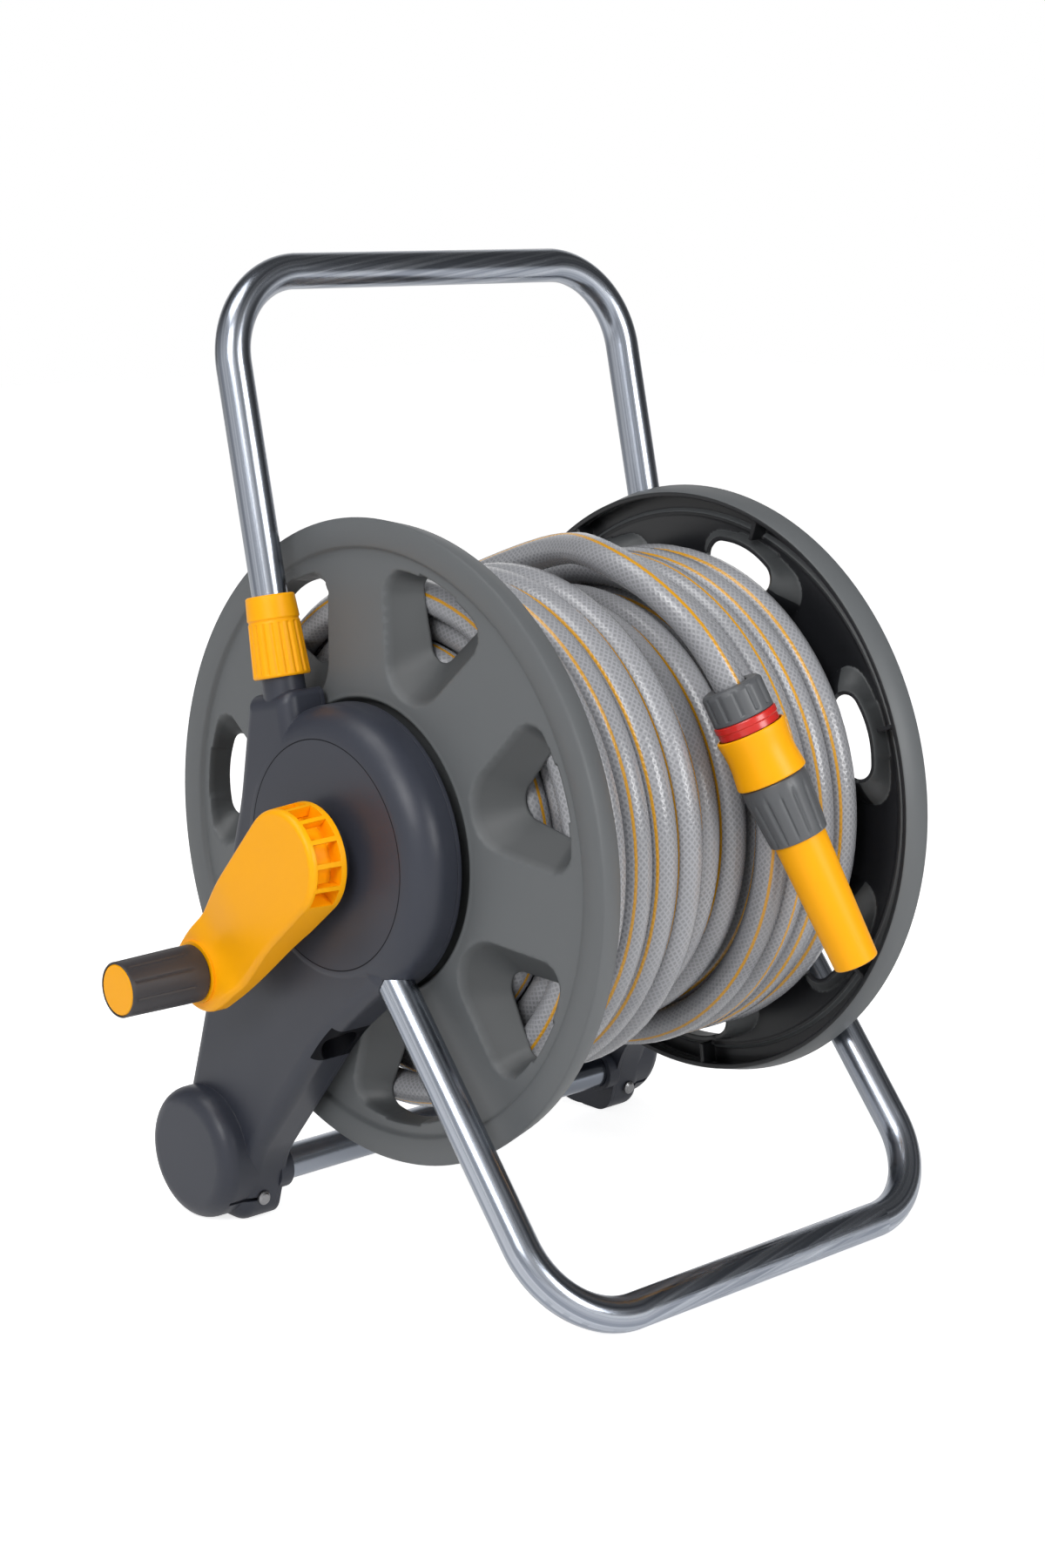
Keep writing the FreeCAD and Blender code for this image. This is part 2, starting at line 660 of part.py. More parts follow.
def window_corners(mouth):
    """Rounded window in (radial, sideways) sizes: its mouth in the web, or its hole in the floor."""
    if mouth:
        gaps, halves, radii = MOUTH_GAPS, MOUTH_HALVES, MOUTH_RADII
    else:
        gaps, halves, radii = HOLE_GAPS, HOLE_HALVES, HOLE_RADII
    inner, outer, crown = WEB_R0 + gaps[0], WEB_R1 - gaps[1], WEB_R1 - gaps[2]
    return [
        (inner, -halves[0], radii[0]), (inner, halves[0], radii[0]), (outer, halves[1], radii[1]),
        (crown, 0.0, radii[2]), (outer, -halves[1], radii[1]),
    ]


def web_x(radial):
    """Height of the flange's outer surface at a radius."""
    return CREST_X - (radial - WEB_R0) * WEB_SLOPE / (WEB_R1 - WEB_R0)


def pocket(angle, grow, lift):
    """Loft from a window's mouth in the web down to its hole."""
    turn = math.radians(angle)
    radial, sideways = V(0, math.cos(turn), math.sin(turn)), V(0, -math.sin(turn), math.cos(turn))
    over = 0.0 if grow else 1.0

    def at_mouth(point):
        return radial * point.x + sideways * point.y + X_AXIS * (web_x(point.x) + lift)

    def at_hole(point):
        return radial * point.x + sideways * point.y + X_AXIS * (POCKET_X - over)

    wires = [rounded_outline(window_corners(True), at_mouth, grow),
             rounded_outline(window_corners(False), at_hole, grow)]
    return Part.makeLoft(wires, True, True)


def flange_right():
    """Right flange: dished web with seven windows, a rim and a spigot for the barrel."""
    web_inner_r1 = WEB_R1 + 1.0
    spigot_r = BARREL_R - BARREL_WALL - 0.1
    profile = [
        (HUB_X, SPINDLE_R + 0.1),
        (HUB_X, HUB_RECESS_R),
        (CREST_X, WEB_R0),
        (web_x(WEB_R1), WEB_R1),
        (RIM_X, WEB_R1 + RIM_STEP_W),
        (RIM_X, FLANGE_R - 0.8),
        (RIM_X - 0.8, FLANGE_R),
        (RIM_INNER_X, FLANGE_R - RIM_TAPER),
        (RIM_INNER_X, FLANGE_R - RIM_TAPER - RIM_WALL),
        (RIM_X - RIM_WALL, FLANGE_R - RIM_WALL - 0.6),
        (RIM_X - RIM_WALL, WEB_R1 + 3.0),
        (web_x(web_inner_r1) - FLANGE_WALL, web_inner_r1),
        (web_x(WEB_R0 + 3.5) - FLANGE_WALL, WEB_R0 + 3.5),
        (POCKET_X + 2.5, spigot_r + 1.0),
        (POCKET_X + 2.5, BARREL_R - 0.2),
        (POCKET_X, BARREL_R - 0.2),
        (POCKET_X, spigot_r),
        (POCKET_X - SPIGOT_LENGTH, spigot_r),
        (POCKET_X - SPIGOT_LENGTH, spigot_r - FLANGE_WALL),
        (POCKET_X, spigot_r - FLANGE_WALL),
        (HUB_X - FLANGE_WALL - 0.5, WEB_R0 + 1.5),
        (HUB_X - FLANGE_WALL - 0.5, SPINDLE_R + 0.1),
    ]
    dish = turned(profile, V(0, 0, 0), X_AXIS)
    added, holes = [], []
    for i in range(WINDOWS):
        angle = FIRST_WINDOW + i * 360.0 / WINDOWS
        added.append(pocket(angle, FLANGE_WALL, -0.5 * FLANGE_WALL))
        holes.append(pocket(angle, 0.0, 1.0))
        low = (RIM_INNER_X + 0.6, WEB_R1 - RIM_RIB_GAP, -RIM_RIB_T / 2)
        rib = box_between(low, (RIM_X - 1, FLANGE_R - RIM_RIB_DROP, RIM_RIB_T / 2))
        rib.rotate(V(0, 0, 0), X_AXIS, angle)
        added.append(rib)
    for i in range(4):
        holes.append(hub_screw_hole(i))
    for i in range(3):
        holes.append(rod(SCREW_R, *barrel_screw_line(i)))
    return dish.multiFuse(added).cut(Part.makeCompound(holes))


def hub_screw_start(i, side=1):
    """Head of one of the screws that hold the spindle's disc to the flange."""
    at = around_axle(45 + 90 * i, SPINDLE_DISC_R - 6.5)
    return V(side * HUB_X, at.y, at.z)


def hub_screw_hole(i):
    return countersink(hub_screw_start(i), V(-1, 0, 0))


def barrel_screw_line(i, side=1):
    """Radial line of a screw that holds the barrel to the flange's spigot."""
    angle = 20 + 120 * i
    x = side * (POCKET_X - BARREL_SCREW_INSET)
    return around_axle(angle, BARREL_R, x), around_axle(angle, BARREL_R - 10, x)


def make_drum_barrel():
    half = POCKET_X - 0.1
    barrel = ring(BARREL_R, BARREL_R - BARREL_WALL, -half, half, V(0, 0, 0), X_AXIS)
    for side in (-1, 1):
        for i in range(3):
            start, end = barrel_screw_line(i, side)
            barrel = barrel.cut(countersink(start, end - start))
    inside = around_axle(ELBOW_ANGLE, 0.5 * BARREL_R, ELBOW_X)
    outside = around_axle(ELBOW_ANGLE, 1.2 * BARREL_R, ELBOW_X)
    return barrel.cut(rod(ELBOW_R + 0.3, inside, outside))


def make_drive_spindle():
    """Solid spindle that takes the crank's turn to the drum, square at its outer end."""
    back_x, tip_x = DISC_X - SPINDLE_DISC_T, CRANK_X0 - 0.5
    profile = [
        (back_x, 0), (tip_x, 0), (tip_x, SPINDLE_R), (DISC_X, SPINDLE_R), (DISC_X, SPINDLE_DISC_R),
        (back_x, SPINDLE_DISC_R),
    ]
    body = turned(profile, V(0, 0, 0), V(-1, 0, 0))
    half = CRANK_SQUARE / 2
    square = box_between((-CRANK_X1 + 3.5, -half, -half), (-CRANK_X0 + 1, half, half))
    square.rotate(V(0, 0, 0), X_AXIS, CRANK_ANGLE)
    return body.fuse(square).cut(spindle_screw_holes(-1)).cut(crank_pin_hole()).removeSplitter()


def spindle_screw_holes(side):
    holes = []
    for i in range(4):
        start = hub_screw_start(i, side)
        holes.append(rod(SCREW_R - 0.1, start, start - V(side * 12, 0, 0)))
    return Part.makeCompound(holes)


def make_water_spindle():
    """Hollow spindle that brings the water into the drum."""
    groove = NOSE_R - 2.15
    tip = INLET_X0 + 3.0
    profile = [(DISC_X - SPINDLE_DISC_T, WATER_BORE_R), (tip, WATER_BORE_R), (tip, NOSE_R)]
    for t in (tip - 3.0, tip - 6.6):
        profile += [(t, NOSE_R), (t, groove), (t - 2.2, groove), (t - 2.2, NOSE_R)]
    profile += [(BOSS_TIP_X - 8.0, NOSE_R), (BOSS_TIP_X - 8.0, SPINDLE_R), (DISC_X, SPINDLE_R),
                (DISC_X, SPINDLE_DISC_R), (DISC_X - SPINDLE_DISC_T, SPINDLE_DISC_R)]
    return turned(profile, V(0, 0, 0), X_AXIS).cut(spindle_screw_holes(1))


def make_spindle_o_rings():
    """Two seals in the water spindle's grooves."""
    tip = INLET_X0 + 3.0
    section = 1.0
    rings = []
    for t in (tip - 4.1, tip - 7.7):
        rings.append(Part.makeTorus(NOSE_R - 2.1 + section, section, V(t, 0, 0), X_AXIS))
    return Part.makeCompound(rings)


def make_inlet_connector():
    """Fixed inlet: a cup over the water spindle's nose and a nipple for a quick connector."""
    cup_bore = NOSE_R + 0.15
    tip = INLET_X1
    foot_x = BOSS_TIP_X - 7.5
    nose_r, land_r, groove_r = INLET_R - 1.4, INLET_R, INLET_R - 2.0
    profile = [
        (foot_x, cup_bore), (INLET_X0 + 4.0, cup_bore), (INLET_X0 + 4.0, WATER_BORE_R), (tip, WATER_BORE_R),
        (tip, nose_r - 1.0), (tip - 1.5, nose_r), (tip - 9.0, nose_r), (tip - 9.0, land_r),
        (tip - 12.0, land_r),
        (tip - 12.0, groove_r), (tip - 17.0, groove_r), (tip - 17.0, INLET_R + 1.2),
        (INLET_X0 + 5.0, INLET_R + 2.2), (INLET_X0 + 5.0, BOSS_R - 5.0), (INLET_X0, BOSS_R),
        (BOSS_TIP_X, BOSS_R),
        (BOSS_TIP_X, SPINDLE_R - 0.1), (foot_x, SPINDLE_R - 0.1),
    ]
    return turned(profile, V(0, 0, 0), X_AXIS)


def make_inlet_seal():
    """Seal ring on the inlet nipple."""
    return Part.makeTorus(INLET_R - 1.0, 1.0, V(INLET_X1 - 13.1, 0, 0), X_AXIS)


def elbow_path():
    """From the spindle's disc to the barrel's wall."""
    bend = 16.0
    out = around_axle(ELBOW_ANGLE, 1.0)
    start = V(DISC_X - SPINDLE_DISC_T, 0, 0)
    bend_start = V(ELBOW_X + bend, 0, 0)
    flat = 1 - math.sqrt(0.5)
    bend_middle = V(ELBOW_X + bend * flat, 0, 0) + out * (bend * flat)
    bend_end = V(ELBOW_X, 0, 0) + out * bend
    end = V(ELBOW_X, 0, 0) + out * (BARREL_R - ELBOW_INSET)
    return Part.Wire([Part.LineSegment(start, bend_start).toShape(),
                      Part.Arc(bend_start, bend_middle, bend_end).toShape(),
                      Part.LineSegment(bend_end, end).toShape()])


def make_hose_elbow():
    """Pipe inside the barrel that brings the water from the spindle to the hose."""
    path = elbow_path()
    foot = rod(ELBOW_R + 6, V(DISC_X - SPINDLE_DISC_T, 0, 0), V(DISC_X - SPINDLE_DISC_T - 3, 0, 0))
    return swept(path, ELBOW_R).fuse(foot).cut(swept(path, WATER_BORE_R)).removeSplitter()


def make_elbow_nut():
    """Nut that holds the elbow in the barrel's wall."""
    at = around_axle(ELBOW_ANGLE, BARREL_R - BARREL_WALL - 6.2, ELBOW_X)
    out = around_axle(ELBOW_ANGLE, 1.0)
    turns = [i * math.pi / 3 for i in range(7)]
    corners = [V(NUT_FLAT_R * math.cos(turn), NUT_FLAT_R * math.sin(turn), 0) for turn in turns]
    flats = Part.Face(Part.makePolygon(corners)).extrude(V(0, 0, NUT_T))
    nut = flats.cut(Part.makeCylinder(ELBOW_R + 0.05, 20, V(0, 0, -5)))
    nut.Placement = FreeCAD.Placement(at, FreeCAD.Rotation(V(0, 0, 1), out))
    return nut


def screws_in(lines, reach):
    """Equal countersunk screws, one along each line."""
    return Part.makeCompound([countersunk_screw(start, direction, reach) for start, direction in lines])


def make_hub_screws():
    lines = [(hub_screw_start(i, side), V(-side, 0, 0)) for side in (-1, 1) for i in range(4)]
    return screws_in(lines, HUB_X - DISC_X + SPINDLE_DISC_T - 0.5)


def make_barrel_screws():
    lines = []
    for side in (-1, 1):
        for i in range(3):
            start, end = barrel_screw_line(i, side)
            lines.append((start, end - start))
    return screws_in(lines, BARREL_WALL + FLANGE_WALL)


def make_cover_screws():
    lines = [(V(side * COVER_X, y, z), V(side, 0, 0)) for side in (-1, 1) for y, z in COVER_SCREWS]
    return screws_in(lines, SCREW_REACH - 1.0)


def make_leg_screws():
    return screws_in([leg_screw_line(side) for side in (-1, 1)], SCREW_REACH - 1.0)


def make_foot_screws():
    """Pan-head screws that close the lobes on the crossbar."""
    screws = []
    for side in (-1, 1):
        start, direction = foot_screw_line(side)
        tip = FOOT_SCREW_LENGTH - 1.0
        shaft_r = SCREW_R - 0.1
        profile = [
            (-2.6, 0), (tip, 0), (tip - 1, shaft_r), (0, shaft_r), (0, SCREW_HEAD_R), (-1.6, SCREW_HEAD_R),
            (-2.6, SCREW_HEAD_R - 1.4),
        ]
        screws.append(turned(profile, start, direction))
    return Part.makeCompound(screws)


# Crank

def arm_hull(r_big, r_small):
    """Outline that hugs the crank's two round ends, big end at the origin, small end along +Y."""
    tilt = math.asin((r_big - r_small) / CRANK_LENGTH)
    sin_t, cos_t = math.sin(tilt), math.cos(tilt)
    low = [V(0, r_big * sin_t, -r_big * cos_t), V(0, CRANK_LENGTH + r_small * sin_t, -r_small * cos_t)]
    high = [V(0, p.y, -p.z) for p in low]
    big_end = Part.Arc(high[0], V(0, -r_big, 0), low[0]).toShape()
    small_end = Part.Arc(low[1], V(0, CRANK_LENGTH + r_small, 0), high[1]).toShape()
    under = Part.LineSegment(low[0], low[1]).toShape()
    over = Part.LineSegment(high[1], high[0]).toShape()
    return Part.Face(Part.Wire([big_end, under, small_end, over]))


def room_under_arm():
    """Wedge under the arm: it thins from its big end to the grip."""
    tip_back = CRANK_T - CRANK_TIP_T
    slope_start, slope_end = CRANK_R, CRANK_LENGTH - CRANK_TIP_R * 0.3
    far, reach = CRANK_LENGTH + 2 * CRANK_R, 2 * CRANK_R
    outline = [(-1, slope_start), (0, slope_start), (tip_back, slope_end), (tip_back, far), (-1, far)]
    corners = [V(x, y, -reach) for x, y in outline]
    return Part.Face(Part.makePolygon(corners + corners[:1])).extrude(V(0, 0, 2 * reach))


def crank_cells():
    """Pockets in the rim of the crank's big end, on the side away from the arm."""
    cells = []
    step = 180.0 / CRANK_POCKETS
    low = (CRANK_CELL_BACK, CRANK_R - CRANK_CELL_DEPTH, -CRANK_CELL_HALF)
    high = (CRANK_T - CRANK_EDGE_R - 1.0, CRANK_R + CRANK_CELL_DEPTH, CRANK_CELL_HALF)
    for i in range(CRANK_POCKETS):
        cell = box_between(low, high)
        cell.rotate(V(0, 0, 0), X_AXIS, 90 + step * (i + 0.5))
        cells.append(cell)
    return cells


def make_crank_arm():
    """Crank arm, drawn pointing to the rear and then turned down to its real angle."""
    body = arm_hull(CRANK_R, CRANK_TIP_R).extrude(V(CRANK_T, 0, 0))
    front = [edge for edge in body.Edges if edge.BoundBox.XMin > CRANK_T - 1e-6]
    body = body.makeFillet(CRANK_EDGE_R, front)
    body = body.cut(room_under_arm())
    seat_start, seat_end = V(CRANK_T - 1, CRANK_LENGTH, 0), V(CRANK_T + GRIP_SEAT_T, CRANK_LENGTH, 0)
    body = body.fuse(rod(GRIP_R + 1.4, seat_start, seat_end))
    half = CRANK_SQUARE / 2 + 0.08
    cuts = crank_cells()
    cuts.append(box_between((-1, -half, -half), (CRANK_T - CRANK_FACE_T, half, half)))
    cuts.append(rod(GRIP_PIN_R, V(-1, CRANK_LENGTH, 0), V(CRANK_T + GRIP_SEAT_T + 1, CRANK_LENGTH, 0)))
    body = body.cut(Part.makeCompound(cuts)).removeSplitter()
    body.rotate(V(0, 0, 0), X_AXIS, CRANK_ANGLE)
    body = mirrored(body)
    body.translate(V(-CRANK_X0, 0, 0))
    return body.cut(crank_pin_hole())


def crank_pin_line():
    """Cross pin through the crank's big end and the spindle's square, square to the arm."""
    across = around_axle(CRANK_ANGLE + 90, CRANK_R - 9.2, -CRANK_X0 - 0.45 * CRANK_T)
    return across, V(across.x, -across.y, -across.z)


def crank_pin_hole():
    start, end = crank_pin_line()
    return rod(2.05, start, end)


def make_crank_pin():
    start, end = crank_pin_line()
    return rod(2.0, start, end)


def grip_axis(x):
    return V(-x, CRANK_TIP_Y, CRANK_TIP_Z)


def make_grip_pin():
    """Steel pin that carries the turning grip."""
    back_x = CRANK_X1 - CRANK_TIP_T
    tip_x = GRIP_X1 - 6.0
    shaft_r = GRIP_PIN_R - 0.05
    profile = [
        (back_x - 2.5, 0), (tip_x, 0), (tip_x, GRIP_PIN_HEAD_R), (tip_x - 2.0, GRIP_PIN_HEAD_R),
        (tip_x - 2.0, shaft_r), (back_x - 0.1, shaft_r), (back_x - 0.1, GRIP_PIN_HEAD_R),
        (back_x - 2.5, GRIP_PIN_HEAD_R),
    ]
    return turned(profile, grip_axis(0), V(-1, 0, 0))


def make_crank_grip():
    """Ribbed grip, hollow at its tip for the cap."""
    head_x, cap_x = GRIP_X1 - 8.4, GRIP_X1 - 4.0
    head_r, cap_r = GRIP_PIN_HEAD_R + 0.5, GRIP_TIP_R - 1.1
    profile = [
        (GRIP_X0, GRIP_PIN_R), (head_x, GRIP_PIN_R), (head_x, head_r), (cap_x, head_r), (cap_x, cap_r),
        (GRIP_X1, cap_r), (GRIP_X1, GRIP_TIP_R - 0.4), (GRIP_X1 - 0.6, GRIP_TIP_R), (GRIP_X0 + 0.6, GRIP_R),
        (GRIP_X0, GRIP_R - 0.6),
    ]
    origin, along = grip_axis(0), V(-1, 0, 0)
    r0, r1 = GRIP_R + 0.25, GRIP_TIP_R + 0.25
    grooves = flutes(GRIP_RIBS, GRIP_GROOVE_R, r0, r1, GRIP_X0 + 3, GRIP_X1 - 3, origin, along)
    return turned(profile, origin, along).cut(grooves)


def make_grip_cap():
    """Disc that closes the grip's tip."""
    radius = GRIP_TIP_R - 1.2
    back_x = GRIP_X1 - 3.9
    profile = [(back_x, 0), (GRIP_X1, 0), (GRIP_X1, radius - 0.6), (GRIP_X1 - 0.6, radius), (back_x, radius)]
    return turned(profile, grip_axis(0), V(-1, 0, 0))


# Hose: a plain core for the inner layers, the outer layer wound as one tube, and the free end

def make_hose_core():
    """Closed solid of the hidden layers, lower in the valley where the outer layer is missing."""
    low_r = CORE_R - LAYER_STEP
    left, right = VALLEY
    bore = BARREL_R + 0.05
    profile = [
        (-CORE_X, bore), (CORE_X, bore), (CORE_X, CORE_R), (right + VALLEY_SLOPE, CORE_R),
        (right - VALLEY_SLOPE, low_r), (left + VALLEY_SLOPE, low_r), (left - VALLEY_SLOPE, CORE_R),
        (-CORE_X, CORE_R),
    ]
    return turned(profile, V(0, 0, 0), X_AXIS)


def ease(t):
    """Smooth step from 0 to 1."""
    t = min(max(t, 0.0), 1.0)
    return t * t * (3 - 2 * t)


def wound_turns():
    """Place and radius (x, r) of every turn of the outer layer, from the right flange to the left one."""
    right = [(EDGE_TURN_X - i * LAYER_PITCH, LAYER_R) for i in range(RIGHT_TURNS)]
    low = [(x, LAYER_R - LAYER_STEP) for x in LOW_TURNS_X]
    left = [(i * LAYER_PITCH - EDGE_TURN_X, LAYER_R) for i in reversed(range(LEFT_TURNS))]
    return right + low + left


def wound_ends():
    """Turns at which the wound tube starts, dipping into the core, and hands over to the free end."""
    return PASS_START - WOUND_LEAD, len(wound_turns()) + RUN_END


def wound_point(turn):
    """Centre of the tube at an angle in turns: level over the front, stepping aside over the rear."""
    turns = wound_turns()
    last_turn = len(turns) - 1 + PASS_END
    if turn > last_turn - CLIMB_LEAD:
        return run_point(turn, last_turn)
    if turn < PASS_START + DIP_END:
        dip = 1 - ease((turn - PASS_START - DIP_START) / (DIP_END - DIP_START))
        return around_axle(360 * turn, LAYER_R - DIP_DEPTH * dip, turns[0][0])
    index = int(turn - PASS_START)
    x0, r0 = turns[index]
    x1, r1 = turns[min(index + 1, len(turns) - 1)]
    part = (turn - index - PASS_END) / (1 - PASS_END + PASS_START)
    lead = STEP_DOWN_LEAD if r1 < r0 else 1.0
    return around_axle(360 * turn, r0 + (r1 - r0) * ease(part * lead), x0 + (x1 - x0) * ease(part))


def run_point(turn, last_turn):
    """Centre of the run: it climbs at the left flange, crosses back and drops into the valley."""
    last_x, last_r = wound_turns()[-1]
    end = wound_ends()[1]
    climb = ease((turn - last_turn + CLIMB_LEAD) / CLIMB_TURNS)
    cross = ease((turn - last_turn - CROSS_DELAY) / (end - last_turn - CROSS_DELAY))
    drop = ease((turn - end + DROP_TURNS) / DROP_TURNS)
    radius = last_r + (RUN_R - last_r) * climb + (RUN_END_R - RUN_R) * drop
    return around_axle(360 * turn, radius, last_x + (RUN_X - last_x) * cross)


def wound_tangent(turn):
    step = 1e-4
    return (wound_point(turn + step) - wound_point(turn - step)).normalize()


def biarc(p0, t0, p1, t1):
    """Two arcs that join two points with given directions."""
    chord = p1 - p0
    sum_t = t0 + t1
    a = 2 * (1 - t0.dot(t1))
    b = 2 * chord.dot(sum_t)
    c = -chord.dot(chord)
    reach = -c / b if abs(a) < 1e-9 else (-b + math.sqrt(b * b - 4 * a * c)) / (2 * a)
    q0, q1 = p0 + t0 * reach, p1 - t1 * reach
    joint = (q0 + q1) * 0.5
    return [arc_from(p0, t0, joint), arc_from(joint, (q1 - q0).normalize(), p1)]


def arc_from(start, tangent, end):
    """Arc that leaves start along tangent and ends at end."""
    chord = end - start
    side = chord - tangent * chord.dot(tangent)
    if side.Length < 1e-7 * chord.Length:
        return Part.LineSegment(start, end).toShape()
    radius = chord.dot(chord) / (2 * side.Length)
    centre = start + side.normalize() * radius
    middle = centre + ((start + end) * 0.5 - centre).normalize() * radius
    return Part.Arc(start, middle, end).toShape()


def wound_path():
    """Straight end, biarcs of about an eighth of a turn, straight end."""
    first, last = wound_ends()
    count = math.ceil((last - first) * 8)
    turns = [first + (last - first) * i / count for i in range(count + 1)]
    start, start_t = wound_point(first), wound_tangent(first)
    end, end_t = wound_point(last), wound_tangent(last)
    straight = 2 * HOSE_R
    edges = [Part.LineSegment(start - start_t * straight, start).toShape()]
    for t0, t1 in zip(turns, turns[1:]):
        edges += biarc(wound_point(t0), wound_tangent(t0), wound_point(t1), wound_tangent(t1))
    edges.append(Part.LineSegment(end, end + end_t * straight).toShape())
    return Part.Wire(edges), end + end_t * straight, end_t


def least_self_gap(path):
    """Least gap between the wound tube's surfaces, on points of the real path half a turn or more apart."""
    points = path.discretize(Distance=8.0)
    apart = int(math.pi * LAYER_R / 8.0)
    least = 1e9
    for i in range(len(points)):
        for j in range(i + apart, len(points)):
            least = min(least, (points[i] - points[j]).Length)
    return least - 2 * HOSE_R


def make_hose_outer_layer():
    path, _, _ = wound_path()
    return swept(path, HOSE_R)


def free_points():
    """Points of the free end's route, from the wound layer to inside the connector's nut."""
    _, start, tangent = wound_path()
    points = [start, start + tangent * FREE_FIRST_RUN] + FREE_ROUTE
    return points + [END_START - END_AXIS * FREE_END_REACH, END_START + END_AXIS * HOSE_IN_NUT]


def free_path():
    """Straight runs joined by tangent arcs."""
    points = free_points()
    edges, radii = [], []
    here = points[0]
    for before, corner, after in zip(points, points[1:], points[2:]):
        run_in, run_out = corner - before, after - corner
        half_turn = run_in.getAngle(run_out) / 2
        reach = 0.45 * min(run_in.Length, run_out.Length)
        radii.append(reach / math.tan(half_turn))
        unit_in, unit_out = V(run_in).normalize(), V(run_out).normalize()
        inward = (unit_out - unit_in).normalize()
        arc_start, arc_end = corner - unit_in * reach, corner + unit_out * reach
        arc_middle = corner + inward * (radii[-1] / math.cos(half_turn) - radii[-1])
        edges.append(Part.LineSegment(here, arc_start).toShape())
        edges.append(Part.Arc(arc_start, arc_middle, arc_end).toShape())
        here = arc_end
    edges.append(Part.LineSegment(here, points[-1]).toShape())
    return Part.Wire(edges), radii


def make_hose_end():
    path, _ = free_path()
    return swept(path, HOSE_R)


def print_hose_report():
    """Radii, gaps and lengths of the hose's solids."""
    path, radii = free_path()
    print("free end radii mm:", [round(radius, 1) for radius in radii])
    wound, _, _ = wound_path()
    first, last = wound_ends()
    print("wound tube turns %.2f, length %.0f mm" % (last - first, wound.Length))
    print("least gap to itself %.2f mm" % least_self_gap(wound))
    section = math.pi * HOSE_R ** 2
    tubes = [("outer layer", make_hose_outer_layer(), wound), ("hose end", make_hose_end(), path)]
    for name, solid, line in tubes:
        print("%s volume %.0f, section times length %.0f mm3" % (name, solid.Volume, section * line.Length))


# Hose-end connector and nozzle, all turned about one axis

def on_end_axis(profile):
    return turned(profile, END_START, END_AXIS)


def make_connector_nut():
    bore, thread = HOSE_R + 0.3, THREAD_R + 0.1
    profile = [
        (0, bore), (HOSE_IN_NUT, bore), (HOSE_IN_NUT, thread), (NUT_LENGTH, thread), (NUT_LENGTH, NUT_R),
        (2.0, NUT_R), (0, NUT_R - 2.0),
    ]
    r = NUT_R + 0.4
    cutters = flutes(NUT_RIBS, GROOVE_R, r, r, 2.5, NUT_LENGTH - 2.0, END_START, END_AXIS)
    return on_end_axis(profile).cut(cutters)


def make_connector_core():
    """Inner body of the connector: hose side with a thread, socket for the nozzle."""
    socket_t, collar_t = CORE_TIP_T - 12, SLEEVE_T + 7.0
    socket_r, collar_r = INLET_R + 0.4, THREAD_R + 0.6
    profile = [
        (HOSE_IN_NUT, CONNECTOR_BORE_R), (socket_t, CONNECTOR_BORE_R), (socket_t, socket_r),
        (CORE_TIP_T, socket_r),
        (CORE_TIP_T, collar_r), (collar_t, collar_r), (collar_t, THREAD_R), (HOSE_IN_NUT, THREAD_R),
    ]
    return on_end_axis(profile)


def make_lock_ring():
    start, end = RING_T + 0.1, SLEEVE_T - 0.1
    bore = THREAD_R + 0.05
    low_r = RING_R - 0.5
    step_start, step_end = RING_T + RING_LENGTH * 0.45, RING_T + RING_LENGTH * 0.5
    profile = [
        (start, bore), (end, bore), (end, low_r), (step_end, low_r), (step_start, RING_R),
        (start + 0.4, RING_R),
        (start, low_r),
    ]
    return on_end_axis(profile)


def make_connector_sleeve():
    """Outer sleeve that is pulled towards the nut to let the nozzle go."""
    over_ring = RING_R + 0.4
    shoulder = SLEEVE_T + SLEEVE_TRAVEL + 1.5
    end = GRIP_T - 0.4
    bore = THREAD_R + 1.0
    profile = [
        (SLEEVE_T, over_ring), (shoulder, over_ring), (shoulder + 1, bore), (end, bore),
        (end, SLEEVE_R - 0.8),
        (end - 1.2, SLEEVE_R), (SLEEVE_T + 1.0, SLEEVE_R - 0.3), (SLEEVE_T, SLEEVE_R - 1.2),
    ]
    return on_end_axis(profile)


def make_nozzle_stem():
    """Nozzle's inner body: plug for the connector at one end, valve pin at the other."""
    plug_t = CORE_TIP_T - 11.5
    neck_t = GRIP_T + 6.0
    groove_t = TUBE_T + 18.0
    bore_end, pin_tip = STEM_TIP_T - 6, STEM_TIP_T + 6
    groove_end, groove_r = groove_t + 2.4, STEM_R - 1.8
    collar_r = GRIP_BORE_R - 0.1
    profile = [
        (plug_t, CONNECTOR_BORE_R), (bore_end, CONNECTOR_BORE_R), (bore_end, 0), (pin_tip, 0),
        (pin_tip, 1.6),
        (STEM_TIP_T, 4.0), (STEM_TIP_T, STEM_R), (groove_end, STEM_R), (groove_end, groove_r),
        (groove_t, groove_r),
        (groove_t, STEM_R), (neck_t + 5, STEM_R), (neck_t + 5, collar_r), (neck_t, collar_r),
        (neck_t, INLET_R),
        (plug_t, INLET_R),
    ]
    return on_end_axis(profile)


def make_nozzle_seal():
    groove_t = TUBE_T + 18.0
    centre = END_START + END_AXIS * (groove_t + 1.2)
    return Part.makeTorus(STEM_R - 0.75, 0.8, centre, END_AXIS)


